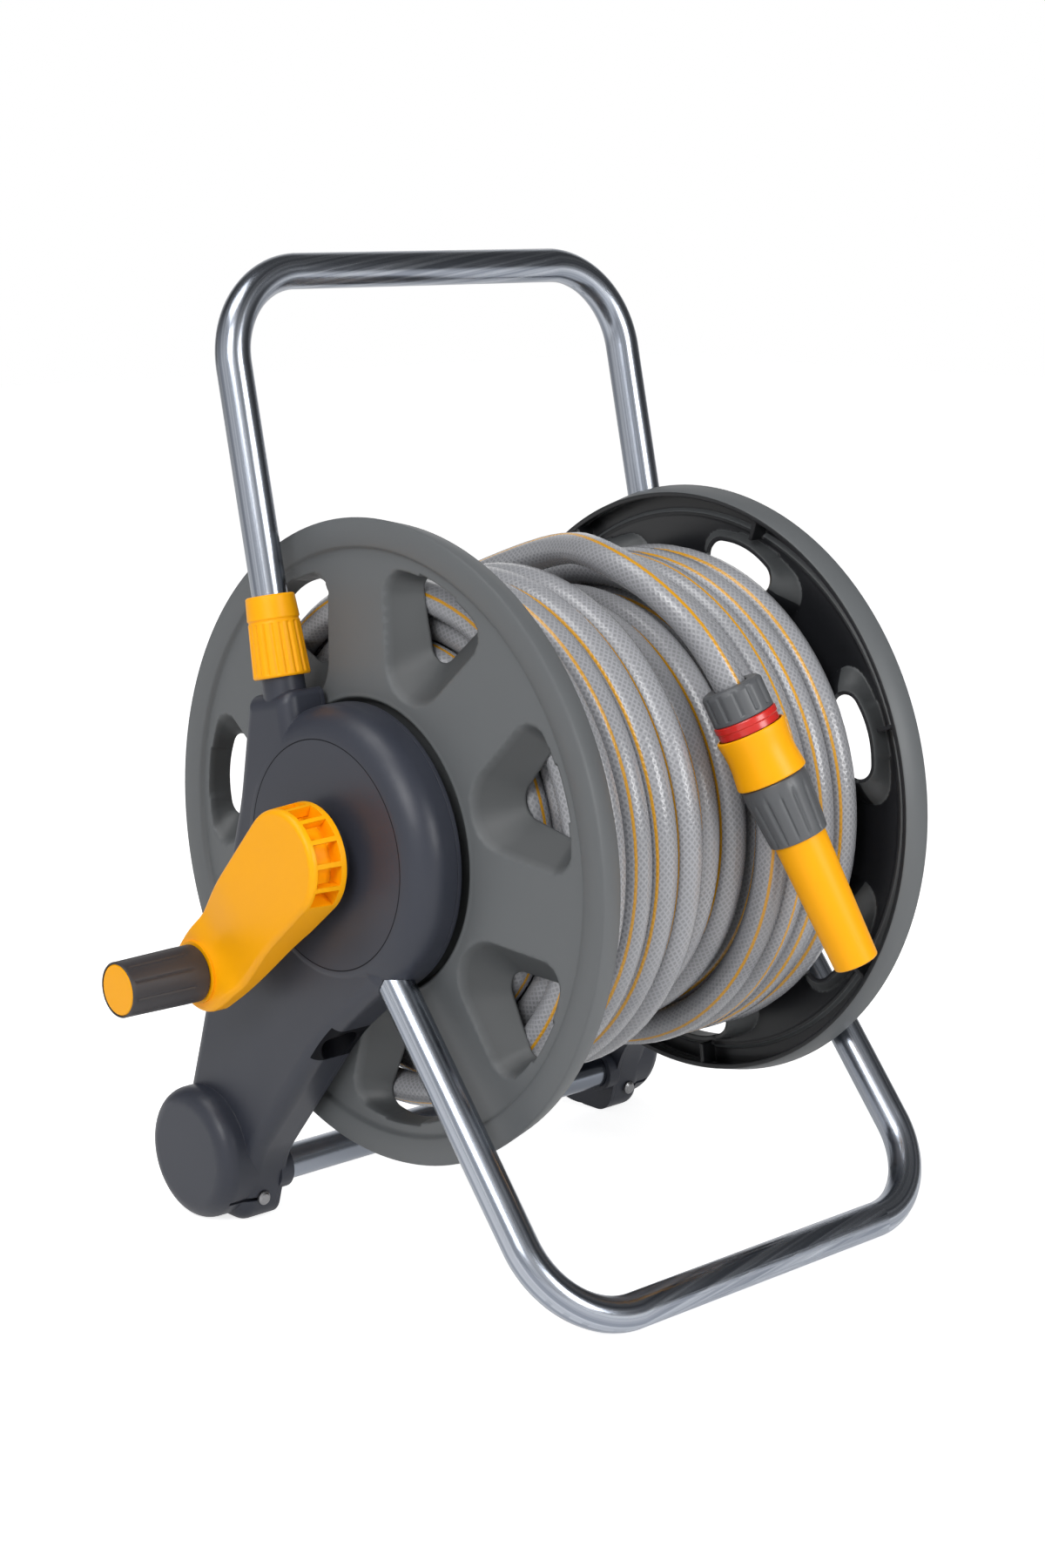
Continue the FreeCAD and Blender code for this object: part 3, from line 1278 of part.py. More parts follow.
def make_nozzle_grip():
    """Ribbed collar that the hand holds."""
    neck_t, mouth_t = GRIP_T + 5.9, TUBE_T - 12
    neck_r, mouth_r, edge_r = INLET_R + 0.1, NOZZLE_TUBE_R + 0.5, NOZZLE_GRIP_R - 1.6
    profile = [
        (GRIP_T, neck_r), (neck_t, neck_r), (neck_t, GRIP_BORE_R), (mouth_t, GRIP_BORE_R),
        (mouth_t, mouth_r),
        (TUBE_T, mouth_r), (TUBE_T, edge_r), (TUBE_T - 1.6, NOZZLE_GRIP_R), (GRIP_T + 8.0, NOZZLE_GRIP_R),
        (GRIP_T, edge_r),
    ]
    r = NOZZLE_GRIP_R + 0.4
    cutters = flutes(NOZZLE_GRIP_RIBS, GROOVE_R, r, r, GRIP_T + 10, TUBE_T - 3, END_START, END_AXIS)
    return on_end_axis(profile).cut(cutters)


def make_nozzle_tube():
    """Turning front of the nozzle with its outlet."""
    bore = STEM_R + 0.06
    start, end = TUBE_T - 11, END_LENGTH
    profile = [
        (start, bore), (STEM_TIP_T + 1, bore), (STEM_TIP_T + 10, OUTLET_R), (end - 5, OUTLET_R),
        (end - 5, 4.5),
        (end, 4.5), (end, NOZZLE_TIP_R - 1.0), (end - 1, NOZZLE_TIP_R), (TUBE_T, NOZZLE_TUBE_R),
        (start, NOZZLE_TUBE_R),
    ]
    return on_end_axis(profile)


def make_nodes():
    """Every piece by name, about the drum's axis."""
    panel, cover, flange = panel_right(), cover_right(), flange_right()
    left_flange = mirrored(flange)
    return {
        "handle_tube": make_handle_tube(),
        "handle_plugs": make_handle_plugs(),
        "front_leg_tube": make_front_leg_tube(),
        "rear_crossbar": make_rear_crossbar(),
        "side_panel_right": panel,
        "side_panel_left": mirrored(panel),
        "back_cover_right": cover,
        "back_cover_left": mirrored(cover),
        "collar_left": collar(-1),
        "collar_right": collar(1),
        "clamp_sleeve_left": clamp_sleeve(-1),
        "clamp_sleeve_right": clamp_sleeve(1),
        "bearing_bush_left": bearing_bush(-1),
        "bearing_bush_right": bearing_bush(1),
        "cover_screws": make_cover_screws(),
        "leg_screws": make_leg_screws(),
        "foot_screws": make_foot_screws(),
        "inlet_connector": make_inlet_connector(),
        "inlet_seal": make_inlet_seal(),
        "drum_flange_right": flange,
        "drum_flange_left": left_flange,
        "drum_barrel": make_drum_barrel(),
        "drive_spindle": make_drive_spindle(),
        "water_spindle": make_water_spindle(),
        "spindle_o_rings": make_spindle_o_rings(),
        "hub_screws": make_hub_screws(),
        "barrel_screws": make_barrel_screws(),
        "hose_elbow": make_hose_elbow(),
        "elbow_nut": make_elbow_nut(),
        "crank_arm": make_crank_arm(),
        "crank_pin": make_crank_pin(),
        "grip_pin": make_grip_pin(),
        "crank_grip": make_crank_grip(),
        "grip_cap": make_grip_cap(),
        "hose_core": make_hose_core(),
        "hose_outer_layer": make_hose_outer_layer(),
        "hose_end": make_hose_end(),
        "connector_nut": make_connector_nut(),
        "connector_core": make_connector_core(),
        "connector_lock_ring": make_lock_ring(),
        "connector_sleeve": make_connector_sleeve(),
        "nozzle_stem": make_nozzle_stem(),
        "nozzle_seal": make_nozzle_seal(),
        "nozzle_grip": make_nozzle_grip(),
        "nozzle_tube": make_nozzle_tube(),
    }


def to_floor_origin():
    """Shift from the drum's axis to the middle of the reel's footprint."""
    front = FRONT.at(FRONT_BAR_S).y - TUBE_R
    rear = max(FLANGE_R, LOBE_Y + LOBE_R)
    return V((GRIP_X1 - INLET_X1) / 2.0, -(front + rear) / 2.0, AXLE_HEIGHT)


def main():
    os.makedirs("parts", exist_ok=True)
    shift = to_floor_origin()
    print("axis shift mm:", [round(value, 3) for value in shift])
    for name, shape in make_nodes().items():
        moved = shape.translated(shift)
        facts = (name, len(moved.Solids), moved.isValid(), moved.Volume)
        print("%-20s solids %d valid %s volume %.1f" % facts)
        moved.exportStep("parts/%s.step" % name)
    print_hose_report()


main()
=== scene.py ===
import json
import logging
import math
from dataclasses import dataclass, field
from enum import Enum
from typing import Union

import bmesh
import bpy
from mathutils import Matrix, Vector
from mathutils.geometry import convex_hull_2d

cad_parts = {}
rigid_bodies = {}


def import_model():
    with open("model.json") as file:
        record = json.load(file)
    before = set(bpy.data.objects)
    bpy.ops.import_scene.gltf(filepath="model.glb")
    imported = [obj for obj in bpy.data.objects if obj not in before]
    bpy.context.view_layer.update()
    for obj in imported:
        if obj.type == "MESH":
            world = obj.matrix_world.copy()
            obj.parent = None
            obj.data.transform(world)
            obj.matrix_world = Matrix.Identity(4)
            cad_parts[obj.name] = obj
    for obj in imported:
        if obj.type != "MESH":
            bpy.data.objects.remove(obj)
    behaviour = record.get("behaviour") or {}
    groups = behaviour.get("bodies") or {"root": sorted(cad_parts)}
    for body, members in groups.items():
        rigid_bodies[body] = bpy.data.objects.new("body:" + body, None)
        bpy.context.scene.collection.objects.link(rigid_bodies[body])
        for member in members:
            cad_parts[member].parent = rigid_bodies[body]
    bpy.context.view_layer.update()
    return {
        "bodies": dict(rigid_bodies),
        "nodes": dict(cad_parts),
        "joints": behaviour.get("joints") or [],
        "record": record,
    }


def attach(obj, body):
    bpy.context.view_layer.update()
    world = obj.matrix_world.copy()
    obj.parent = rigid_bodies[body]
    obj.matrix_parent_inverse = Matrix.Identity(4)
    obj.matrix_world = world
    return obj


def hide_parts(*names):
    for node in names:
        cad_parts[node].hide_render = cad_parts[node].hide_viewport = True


# Free-standing garden hose reel. Shapes are drawn in millimetres about the drum's axle, with the crank
# at -X, the front at -Y and Z up, and are then moved to the frame's own place in metres.

log = logging.getLogger("hose_reel")

MM = 0.001
AXLE = Vector((0.0185, 0.002106, 0.224))
X_AXIS = Vector((1.0, 0.0, 0.0))
# Distance of both bent tubes' legs from the drum's middle.
LEG_X = 141.0

Place = tuple[float, float, float]
Triple = tuple[float, float, float]
Colour = tuple[float, float, float]
Profile = list[tuple[float, float]]
Outline = list[tuple[float, float, float]]
Socket = bpy.types.NodeSocket


class Side(Enum):
    """The two sides of the reel, with the sign of X."""

    LEFT = -1
    RIGHT = 1


def srgb(red: int, green: int, blue: int) -> Colour:
    """Linear colour of a display colour.

    Args:
        red: Red from 0 to 255.
        green: Green from 0 to 255.
        blue: Blue from 0 to 255.

    Returns:
        The colour as the shader takes it.
    """
    def curve(value: int) -> float:
        """Linear value of one channel."""
        level = value / 255.0
        return level / 12.92 if level <= 0.04045 else ((level + 0.055) / 1.055) ** 2.4

    return curve(red), curve(green), curve(blue)


# Shader building

class NodeSheet:
    """Short hand for a node tree while it is drawn."""

    def __init__(self, tree: bpy.types.NodeTree) -> None:
        """Take the tree to draw in."""
        self.tree = tree

    def add(self, kind: str, inputs: Union[dict, None] = None, **settings: object) -> bpy.types.Node:
        """Add a node with its settings and inputs.

        Args:
            kind: Blender's node type.
            inputs: Input name or index to a value or to the socket that feeds it.
            **settings: The node's own properties.

        Returns:
            The new node.
        """
        node = self.tree.nodes.new(kind)
        for name, value in settings.items():
            setattr(node, name, value)
        for name, value in (inputs or {}).items():
            self.feed(node.inputs[name], value)
        return node

    def feed(self, socket: Socket, value: object) -> None:
        """Give an input its value, or the socket that feeds it.

        Args:
            socket: The input.
            value: The value or the socket.
        """
        if isinstance(value, bpy.types.NodeSocket):
            self.tree.links.new(value, socket)
        else:
            socket.default_value = value

    def math(self, operation: str, first: object, second: object = 0.0, third: object = 0.0) -> Socket:
        """Add a math node.

        Args:
            operation: Blender's name of the operation.
            first: First value or socket.
            second: Second value or socket.
            third: Third value or socket.

        Returns:
            The node's value.
        """
        inputs = {0: first, 1: second, 2: third}
        return self.add("ShaderNodeMath", inputs, operation=operation).outputs[0]

    def vector(self, operation: str, first: object, second: Union[object, None] = None) -> Socket:
        """Add a vector math node.

        Args:
            operation: Blender's name of the operation.
            first: First vector or socket.
            second: Second vector or socket, where the operation takes one.

        Returns:
            The node's vector, or its number where the operation gives one.
        """
        inputs = {0: first} if second is None else {0: first, 1: second}
        node = self.add("ShaderNodeVectorMath", inputs, operation=operation)
        return node.outputs["Value" if operation in ("LENGTH", "DOT_PRODUCT") else "Vector"]

    def mix(self, part: object, first: object, second: object) -> Socket:
        """Blend two colours.

        Args:
            part: Share of the second colour.
            first: First colour or socket.
            second: Second colour or socket.

        Returns:
            The blended colour.
        """
        return self.add("ShaderNodeMix", {0: part, 6: first, 7: second}, data_type="RGBA").outputs[2]

    def ramp(self, value: Socket, low: float, high: float, start: float = 0.0, end: float = 1.0) -> Socket:
        """Spread a stretch of values over another stretch.

        Args:
            value: The value to spread.
            low: Where the stretch starts.
            high: Where the stretch ends.
            start: Result at its start and below.
            end: Result at its end and above.

        Returns:
            The result.
        """
        return self.add("ShaderNodeMapRange", {0: value, 1: low, 2: high, 3: start, 4: end}).outputs[0]

    def about_axle(self, place: Socket) -> tuple[Socket, Socket]:
        """Place as seen from the drum's axle.

        Args:
            place: The place on the piece.

        Returns:
            The distance along the axle with its sign, and the offset square to it.
        """
        centred = self.vector("SUBTRACT", place, tuple(AXLE))
        along = self.add("ShaderNodeSeparateXYZ", {0: centred}).outputs[0]
        return along, self.vector("MULTIPLY", centred, (0.0, 1.0, 1.0))


class EffectGroups:
    """The shader effects that several finishes share, each built once."""

    def __init__(self) -> None:
        """Build every group."""
        self.grain = self._grain()
        self.mottle = self._mottle()
        self.streaks = self._streaks()

    @staticmethod
    def _group(name: str, numbers: list[str], colours: list[str],
               results: dict[str, str]) -> tuple[NodeSheet, dict[str, Socket], bpy.types.Node]:
        """Start a node group that reads a vector.

        Args:
            name: The group's name.
            numbers: Names of its number inputs.
            colours: Names of its colour inputs.
            results: Output names with their socket types.

        Returns:
            The sheet, the input sockets by name, and the output node.
        """
        tree = bpy.data.node_groups.new(name, "ShaderNodeTree")
        kinds = {"NodeSocketVector": ["Vector"], "NodeSocketFloat": numbers, "NodeSocketColor": colours}
        for kind, labels in kinds.items():
            for label in labels:
                tree.interface.new_socket(name=label, in_out="INPUT", socket_type=kind)
        for label, kind in results.items():
            tree.interface.new_socket(name=label, in_out="OUTPUT", socket_type=kind)
        sheet = NodeSheet(tree)
        given = {socket.name: socket for socket in sheet.add("NodeGroupInput").outputs if socket.name}
        return sheet, given, sheet.add("NodeGroupOutput")

    def _grain(self) -> bpy.types.NodeTree:
        """Fine moulded or sprayed grain as a height.

        Returns:
            The group.
        """
        sheet, given, out = self._group("FineGrain", ["Scale", "Depth"], [], {"Height": "NodeSocketFloat"})
        place = {"Vector": given["Vector"], "Scale": given["Scale"], "Detail": 3.0}
        noise = sheet.add("ShaderNodeTexNoise", place)
        sheet.feed(out.inputs["Height"], sheet.math("MULTIPLY", noise.outputs[0], given["Depth"]))
        return sheet.tree

    def _mottle(self) -> bpy.types.NodeTree:
        """Slow drift of colour and gloss over a surface.

        Returns:
            The group.
        """
        sheet, given, out = self._group("SlowDrift", ["Scale", "Amount", "Level", "Swing"], ["Color"],
                                        {"Color": "NodeSocketColor", "Value": "NodeSocketFloat"})
        place = {"Vector": given["Vector"], "Scale": given["Scale"], "Detail": 4.0}
        noise = sheet.add("ShaderNodeTexNoise", place)
        centred = sheet.math("SUBTRACT", noise.outputs[0], 0.5)
        bright = sheet.math("MULTIPLY_ADD", centred, given["Amount"], 1.0)
        shade = sheet.add("ShaderNodeHueSaturation", {"Color": given["Color"], "Value": bright})
        sheet.feed(out.inputs["Color"], shade.outputs[0])
        sheet.feed(out.inputs["Value"], sheet.math("MULTIPLY_ADD", centred, given["Swing"], given["Level"]))
        return sheet.tree

    def _streaks(self) -> bpy.types.NodeTree:
        """Long drawn marks along a part, from its own UV map.

        Returns:
            The group.
        """
        sheet, given, out = self._group("DrawnStreaks", ["Across", "Along"], [],
                                        {"Value": "NodeSocketFloat"})
        stretch = sheet.add("ShaderNodeCombineXYZ", {0: given["Across"], 1: given["Along"], 2: 1.0})
        scaled = sheet.vector("MULTIPLY", given["Vector"], stretch.outputs[0])
        noise = sheet.add("ShaderNodeTexNoise", {"Vector": scaled, "Scale": 1.0, "Detail": 3.0})
        sheet.feed(out.inputs["Value"], noise.outputs[0])
        return sheet.tree


def new_material(name: str) -> tuple[bpy.types.Material, NodeSheet, bpy.types.Node]:
    """Start a material.

    Args:
        name: The material's name.

    Returns:
        The material, its sheet and its Principled shader.
    """
    material = bpy.data.materials.new(name)
    material.use_nodes = True
    shader = material.node_tree.nodes["Principled BSDF"]
    return material, NodeSheet(material.node_tree), shader


@dataclass(frozen=True)
class SeamLineAndSlotShade:
    """Dark line in a side panel's seam round the axle, and painted shade: black painted at the bottom of the
    handle's slot, where there is only shade.
    """

    seam_r: float = 60.0
    seam_half: float = 0.32
    seam_part: float = 0.85
    slot_x: float = 152.2
    slot_y: float = 9.0
    slot_z: float = -102.0
    slot_r: float = 14.0
    slot_shade_part: float = 0.9
    # Black of the dark seam line and of the painted shade in the handle's slot.
    black: Colour = (0.004, 0.004, 0.005)

    def mask(self, sheet: NodeSheet, place: Socket) -> Socket:
        """Where the dark seam line and the painted slot shade are.

        Args:
            sheet: The material's sheet.
            place: The place on the piece.

        Returns:
            The share of black, from 0 to 1.
        """
        along, flat = sheet.about_axle(place)
        off_seam = sheet.math("SUBTRACT", sheet.vector("LENGTH", flat), self.seam_r * MM)
        near_seam = sheet.math("LESS_THAN", sheet.math("ABSOLUTE", off_seam), self.seam_half * MM)
        # Painted shade: black painted into the handle's slot below the panel's face, where the slot lies
        # only in shade.
        off_slot = sheet.vector("SUBTRACT", flat, (0.0, self.slot_y * MM, self.slot_z * MM))
        near_slot = sheet.math("LESS_THAN", sheet.vector("LENGTH", off_slot), self.slot_r * MM)
        deep = sheet.math("LESS_THAN", sheet.math("ABSOLUTE", along), self.slot_x * MM)
        slot = sheet.math("MULTIPLY", sheet.math("MULTIPLY", near_slot, deep), self.slot_shade_part)
        return sheet.math("MAXIMUM", sheet.math("MULTIPLY", near_seam, self.seam_part), slot)


@dataclass(frozen=True)
class FlangeShade:
    """Painted shade over a flange's inner side, which also gets a lower roughness, and painted shade in each
    hollow below its web.
    """

    # Painted shade colour of the inner side.
    inside: Colour
    inside_gloss: float = 0.28
    facing: float = 0.08
    # Share and strength of the painted shade below the web.
    hollow_shade_part: float = 0.9
    hollow_shade_tone: float = 0.5
    hollow_r: float = 154.0
    hollow_fade: float = 4.0
    web_x0: float = 131.17
    web_fall: float = 0.0855

    def shaded_inner_side(self, sheet: NodeSheet, place: Socket) -> Socket:
        """Where a face looks at the drum's middle or at the axle, and so gets the painted shade and a lower
        roughness.

        Args:
            sheet: The material's sheet.
            place: The place on the piece.

        Returns:
            1 there, and 0 elsewhere.
        """
        along, flat = sheet.about_axle(place)
        normal = sheet.add("ShaderNodeTexCoord").outputs["Normal"]
        facing = sheet.add("ShaderNodeSeparateXYZ", {0: normal}).outputs[0]
        away = sheet.math("MULTIPLY", facing, sheet.math("SIGN", along))
        radial = sheet.vector("DOT_PRODUCT", normal, sheet.vector("NORMALIZE", flat))
        return sheet.math("LESS_THAN", sheet.math("MAXIMUM", away, radial), self.facing)

    def painted_hollow_shade(self, sheet: NodeSheet, place: Socket) -> Socket:
        """Where a place lies below the web, and so gets painted shade.

        Args:
            sheet: The material's sheet.
            place: The place on the piece.

        Returns:
            The share of the painted shade, from 0 to 1.
        """
        along, flat = sheet.about_axle(place)
        radius = sheet.vector("LENGTH", flat)
        web = sheet.math("SUBTRACT", self.web_x0 * MM, sheet.math("MULTIPLY", radius, self.web_fall))
        depth = sheet.math("SUBTRACT", web, sheet.math("ABSOLUTE", along))
        fade = sheet.ramp(depth, 0.0, self.hollow_fade * MM)
        within = sheet.math("LESS_THAN", radius, self.hollow_r * MM)
        return sheet.math("MULTIPLY", sheet.math("MULTIPLY", fade, within), self.hollow_shade_part)


@dataclass(frozen=True)
class MouldedPlastic:
    """Injection moulded plastic, or turned steel, with a fine grain and a slow drift of tone, and where
    given a dark seam line and painted shade.
    """

    name: str
    colour: Colour
    roughness: float = 0.45
    grain: float = 0.35
    grain_scale: float = 1800.0
    grain_height: float = 0.1
    drift: float = 0.10
    drift_scale: float = 22.0
    swing: float = 0.12
    coat: float = 0.0
    coat_roughness: float = 0.12
    specular: float = 0.5
    metallic: float = 0.0
    soft_edge: float = 0.0
    # Dark seam line and painted shade in the handle's slot, on a side panel.
    marks: Union[SeamLineAndSlotShade, None] = None
    # Painted shade on a flange's inner side and below its web.
    flange_shade: Union[FlangeShade, None] = None

    def build(self, groups: EffectGroups) -> bpy.types.Material:
        """Make the material.

        Args:
            groups: The shared effects.

        Returns:
            The material.
        """
        material, sheet, shader = new_material(self.name)
        place = sheet.add("ShaderNodeTexCoord").outputs["Object"]
        drift = sheet.add("ShaderNodeGroup", {
            "Vector": place, "Scale": self.drift_scale, "Amount": self.drift, "Level": self.roughness,
            "Swing": self.swing, "Color": (*self.colour, 1.0)}, node_tree=groups.mottle)
        colour, rough = drift.outputs["Color"], drift.outputs["Value"]
        sheet.feed(shader.inputs["Specular IOR Level"], self.specular)
        # Dark seam line, and black painted as shade in the handle's slot, where the specular level is taken
        # away as well.
        if self.marks:
            black = self.marks.mask(sheet, place)
            colour = sheet.mix(black, colour, (*self.marks.black, 1.0))
            off_seam_and_slot = sheet.math("SUBTRACT", 1.0, black)
            sheet.feed(shader.inputs["Specular IOR Level"], sheet.math("MULTIPLY", off_seam_and_slot, self.specular))
        if self.flange_shade:
            # Painted shade in each hollow below the web, then painted shade over the inner side, which also
            # gets a lower roughness.
            darker = [self.flange_shade.hollow_shade_tone * part for part in self.colour]
            colour = sheet.mix(self.flange_shade.painted_hollow_shade(sheet, place), colour, (*darker, 1.0))
            inner = self.flange_shade.shaded_inner_side(sheet, place)
            colour = sheet.mix(inner, colour, (*self.flange_shade.inside, 1.0))
            gloss = {0: inner, 2: rough, 3: self.flange_shade.inside_gloss}
            rough = sheet.add("ShaderNodeMix", gloss, data_type="FLOAT").outputs[0]
        sheet.feed(shader.inputs["Base Color"], colour)
        sheet.feed(shader.inputs["Roughness"], rough)
        sheet.feed(shader.inputs["Normal"], self._surface(sheet, groups, place))
        sheet.feed(shader.inputs["Metallic"], self.metallic)
        sheet.feed(shader.inputs["Coat Weight"], self.coat)
        sheet.feed(shader.inputs["Coat Roughness"], self.coat_roughness)
        return material

    def _surface(self, sheet: NodeSheet, groups: EffectGroups, place: Socket) -> Socket:
        """Normal with the grain, and with softened edges where the finish has them.

        Args:
            sheet: The material's sheet.
            groups: The shared effects.
            place: The place on the piece.

        Returns:
            The normal.
        """
        inputs = {"Vector": place, "Scale": self.grain_scale, "Depth": 1.0}
        grain = sheet.add("ShaderNodeGroup", inputs, node_tree=groups.grain).outputs["Height"]
        height = {"Height": grain, "Strength": self.grain, "Distance": self.grain_height * MM}
        bump = sheet.add("ShaderNodeBump", height)
        if self.soft_edge:
            rounded = sheet.add("ShaderNodeBevel", {"Radius": self.soft_edge * MM}, samples=4)
            sheet.feed(bump.inputs["Normal"], rounded.outputs[0])
        return bump.outputs[0]


@dataclass(frozen=True)
class ZincPlate:
    """Bright zinc plating over drawn steel tube, with long streaks in its UV map's second direction."""

    name: str
    colour: Colour
    dark: Colour
    roughness: float = 0.24
    across: float = 26.0
    along: float = 0.8
    drift_scale: float = 16.0
    drift: float = 0.12
    dark_to: float = 0.38
    bright_from: float = 0.62
    streak_swing: float = 0.22
    streak_relief: float = 0.25
    streak_height: float = 0.2

    def build(self, groups: EffectGroups) -> bpy.types.Material:
        """Make the material.

        Args:
            groups: The shared effects.

        Returns:
            The material.
        """
        material, sheet, shader = new_material(self.name)
        uv = sheet.add("ShaderNodeUVMap", uv_map="route").outputs[0]
        inputs = {"Vector": uv, "Across": self.across, "Along": self.along}
        streaks = sheet.add("ShaderNodeGroup", inputs, node_tree=groups.streaks).outputs["Value"]
        place = sheet.add("ShaderNodeTexCoord").outputs["Object"]
        drift = sheet.add("ShaderNodeGroup", {
            "Vector": place, "Scale": self.drift_scale, "Amount": self.drift, "Level": 0.0,
            "Swing": self.drift, "Color": (*self.colour, 1.0)}, node_tree=groups.mottle)
        drawn = sheet.ramp(streaks, self.dark_to, self.bright_from)
        colour = sheet.mix(drawn, (*self.dark, 1.0), drift.outputs["Color"])
        smooth = self.roughness - self.streak_swing / 2
        rough = sheet.math("MULTIPLY_ADD", streaks, self.streak_swing, smooth)
        height = {"Height": streaks, "Strength": self.streak_relief, "Distance": self.streak_height * MM}
        bump = sheet.add("ShaderNodeBump", height)
        sheet.feed(shader.inputs["Base Color"], colour)
        sheet.feed(shader.inputs["Roughness"], sheet.math("ADD", rough, drift.outputs["Value"]))
        sheet.feed(shader.inputs["Normal"], bump.outputs[0])
        sheet.feed(shader.inputs["Metallic"], 1.0)
        return material


@dataclass(frozen=True)
class BraidedHoseWall:
    """Clear hose skin over a silver-grey braid, with thin coloured stripes, all in the hose's UV map.

    The map's first direction goes once round the hose, and the second is the length in metres.
    """

    name: str
    base: Colour
    thread: Colour
    stripe: Colour
    threads: float = 16.0
    pitch: float = 3.6
    thread_part: float = 0.7
    thread_gloss: float = -0.08
    relief: float = 0.35
    thread_height: float = 0.3
    stripes: float = 2.0
    stripe_width: float = 0.03
    first_stripe: float = 0.25
    roughness: float = 0.30
    drift_scale: float = 30.0
    drift: float = 0.18
    swing: float = 0.10
    coat: float = 0.25
    coat_roughness: float = 0.25

    def build(self, groups: EffectGroups) -> bpy.types.Material:
        """Make the material.

        Args:
            groups: The shared effects.

        Returns:
            The material.
        """
        material, sheet, shader = new_material(self.name)
        uv = sheet.add("ShaderNodeUVMap", uv_map="route").outputs[0]
        parts = sheet.add("ShaderNodeSeparateXYZ", {0: uv})
        around, along = parts.outputs[0], parts.outputs[1]
        braid = self._braid(sheet, around, along)
        place = sheet.add("ShaderNodeTexCoord").outputs["Object"]
        drift = sheet.add("ShaderNodeGroup", {
            "Vector": place, "Scale": self.drift_scale, "Amount": self.drift, "Level": self.roughness,
            "Swing": self.swing, "Color": (*self.base, 1.0)}, node_tree=groups.mottle)
        seen = sheet.math("MULTIPLY", braid, self.thread_part)
        woven = sheet.mix(seen, drift.outputs["Color"], (*self.thread, 1.0))
        colour = sheet.mix(self._stripe(sheet, around), woven, (*self.stripe, 1.0))
        rough = sheet.math("MULTIPLY_ADD", braid, self.thread_gloss, drift.outputs["Value"])
        height = {"Height": braid, "Strength": self.relief, "Distance": self.thread_height * MM}
        sheet.feed(shader.inputs["Base Color"], colour)
        sheet.feed(shader.inputs["Roughness"], rough)
        sheet.feed(shader.inputs["Normal"], sheet.add("ShaderNodeBump", height).outputs[0])
        sheet.feed(shader.inputs["Coat Weight"], self.coat)
        sheet.feed(shader.inputs["Coat Roughness"], self.coat_roughness)
        return material

    def _braid(self, sheet: NodeSheet, around: Socket, along: Socket) -> Socket:
        """Threads that wind both ways round the hose.

        Args:
            sheet: The material's sheet.
            around: Turns round the hose.
            along: Metres along the hose.

        Returns:
            The threads' profile, from 0 to 1.
        """
        turns = sheet.math("MULTIPLY", around, self.threads)
        steps = sheet.math("MULTIPLY", along, 1.0 / (self.pitch * MM))
        waves = []
        for way in ("ADD", "SUBTRACT"):
            phase = sheet.math("MULTIPLY", sheet.math(way, turns, steps), 2.0 * math.pi)
            waves.append(sheet.math("MULTIPLY_ADD", sheet.math("SINE", phase), 0.5, 0.5))
        return sheet.math("MAXIMUM", *waves)

    def _stripe(self, sheet: NodeSheet, around: Socket) -> Socket:
        """1 on the coloured stripes, and 0 between them.

        Args:
            sheet: The material's sheet.
            around: Turns round the hose.

        Returns:
            The mask.
        """
        place = sheet.math("FRACT", sheet.math("MULTIPLY_ADD", around, self.stripes, self.first_stripe))
        away = sheet.math("ABSOLUTE", sheet.math("SUBTRACT", place, 0.5))
        return sheet.math("LESS_THAN", away, self.stripe_width * self.stripes / 2.0)


class Finishes:
    """Every finish of the reel, built once."""

    def __init__(self) -> None:
        """Build the effects and the materials."""
        groups = EffectGroups()
        zinc = ZincPlate("zinc_plate", srgb(178, 183, 192), srgb(132, 138, 149))
        screw = MouldedPlastic("screw_steel", srgb(150, 150, 152), 0.35, 0.1, metallic=1.0)
        # The panel finish carries the dark seam line and the painted shade in the handle's slot.
        panel = MouldedPlastic("panel_anthracite", srgb(50, 53, 63), 0.4, 0.35, specular=0.4, soft_edge=0.8,
                               marks=SeamLineAndSlotShade())
        drum = MouldedPlastic("drum_grey", srgb(94, 97, 99), 0.5, 0.3, soft_edge=1.8)
        # The flange finish carries painted shade on its inner side and below its web.
        flange = MouldedPlastic("flange_grey", srgb(94, 97, 99), 0.5, 0.3, soft_edge=1.8,
                                flange_shade=FlangeShade(srgb(30, 31, 34)))
        yellow = MouldedPlastic("yellow_plastic", srgb(255, 174, 0), 0.4, 0.12, drift=0.05, specular=0.25,
                                soft_edge=0.5)
        hose = BraidedHoseWall("braided_hose", srgb(124, 125, 129), srgb(172, 173, 177), srgb(205, 148, 30))
        self.zinc = zinc.build(groups)
        self.screw = screw.build(groups)
        self.panel = panel.build(groups)
        self.drum = drum.build(groups)
        self.flange = flange.build(groups)
        self.yellow = yellow.build(groups)
        self.hose = hose.build(groups)
        self.black = MouldedPlastic("bearing_black", srgb(42, 43, 46), 0.4, 0.2).build(groups)
        self.grey = MouldedPlastic("fitting_grey", srgb(86, 88, 91), 0.42, 0.3).build(groups)
        self.red = MouldedPlastic("ring_red", srgb(205, 38, 32), 0.3, 0.1, coat=0.2).build(groups)
        self.grip = MouldedPlastic("grip_dark", srgb(50, 48, 51), 0.5, 0.3).build(groups)
        self.rubber = MouldedPlastic("seal_rubber", srgb(28, 28, 29), 0.6, 0.3).build(groups)


# Mesh building

# Corners of a lathe's outline that lie closer together than this, in millimetres, are one.
POLE_GAP = 1e-3


def linked(name: str, data: bpy.types.ID) -> bpy.types.Object:
    """New object of the scene that shows the data.

    Args:
        name: The object's name.
        data: Its mesh, curve, lamp or camera.

    Returns:
        The object.
    """
    holder = bpy.data.objects.new(name, data)
    bpy.context.scene.collection.objects.link(holder)
    return holder


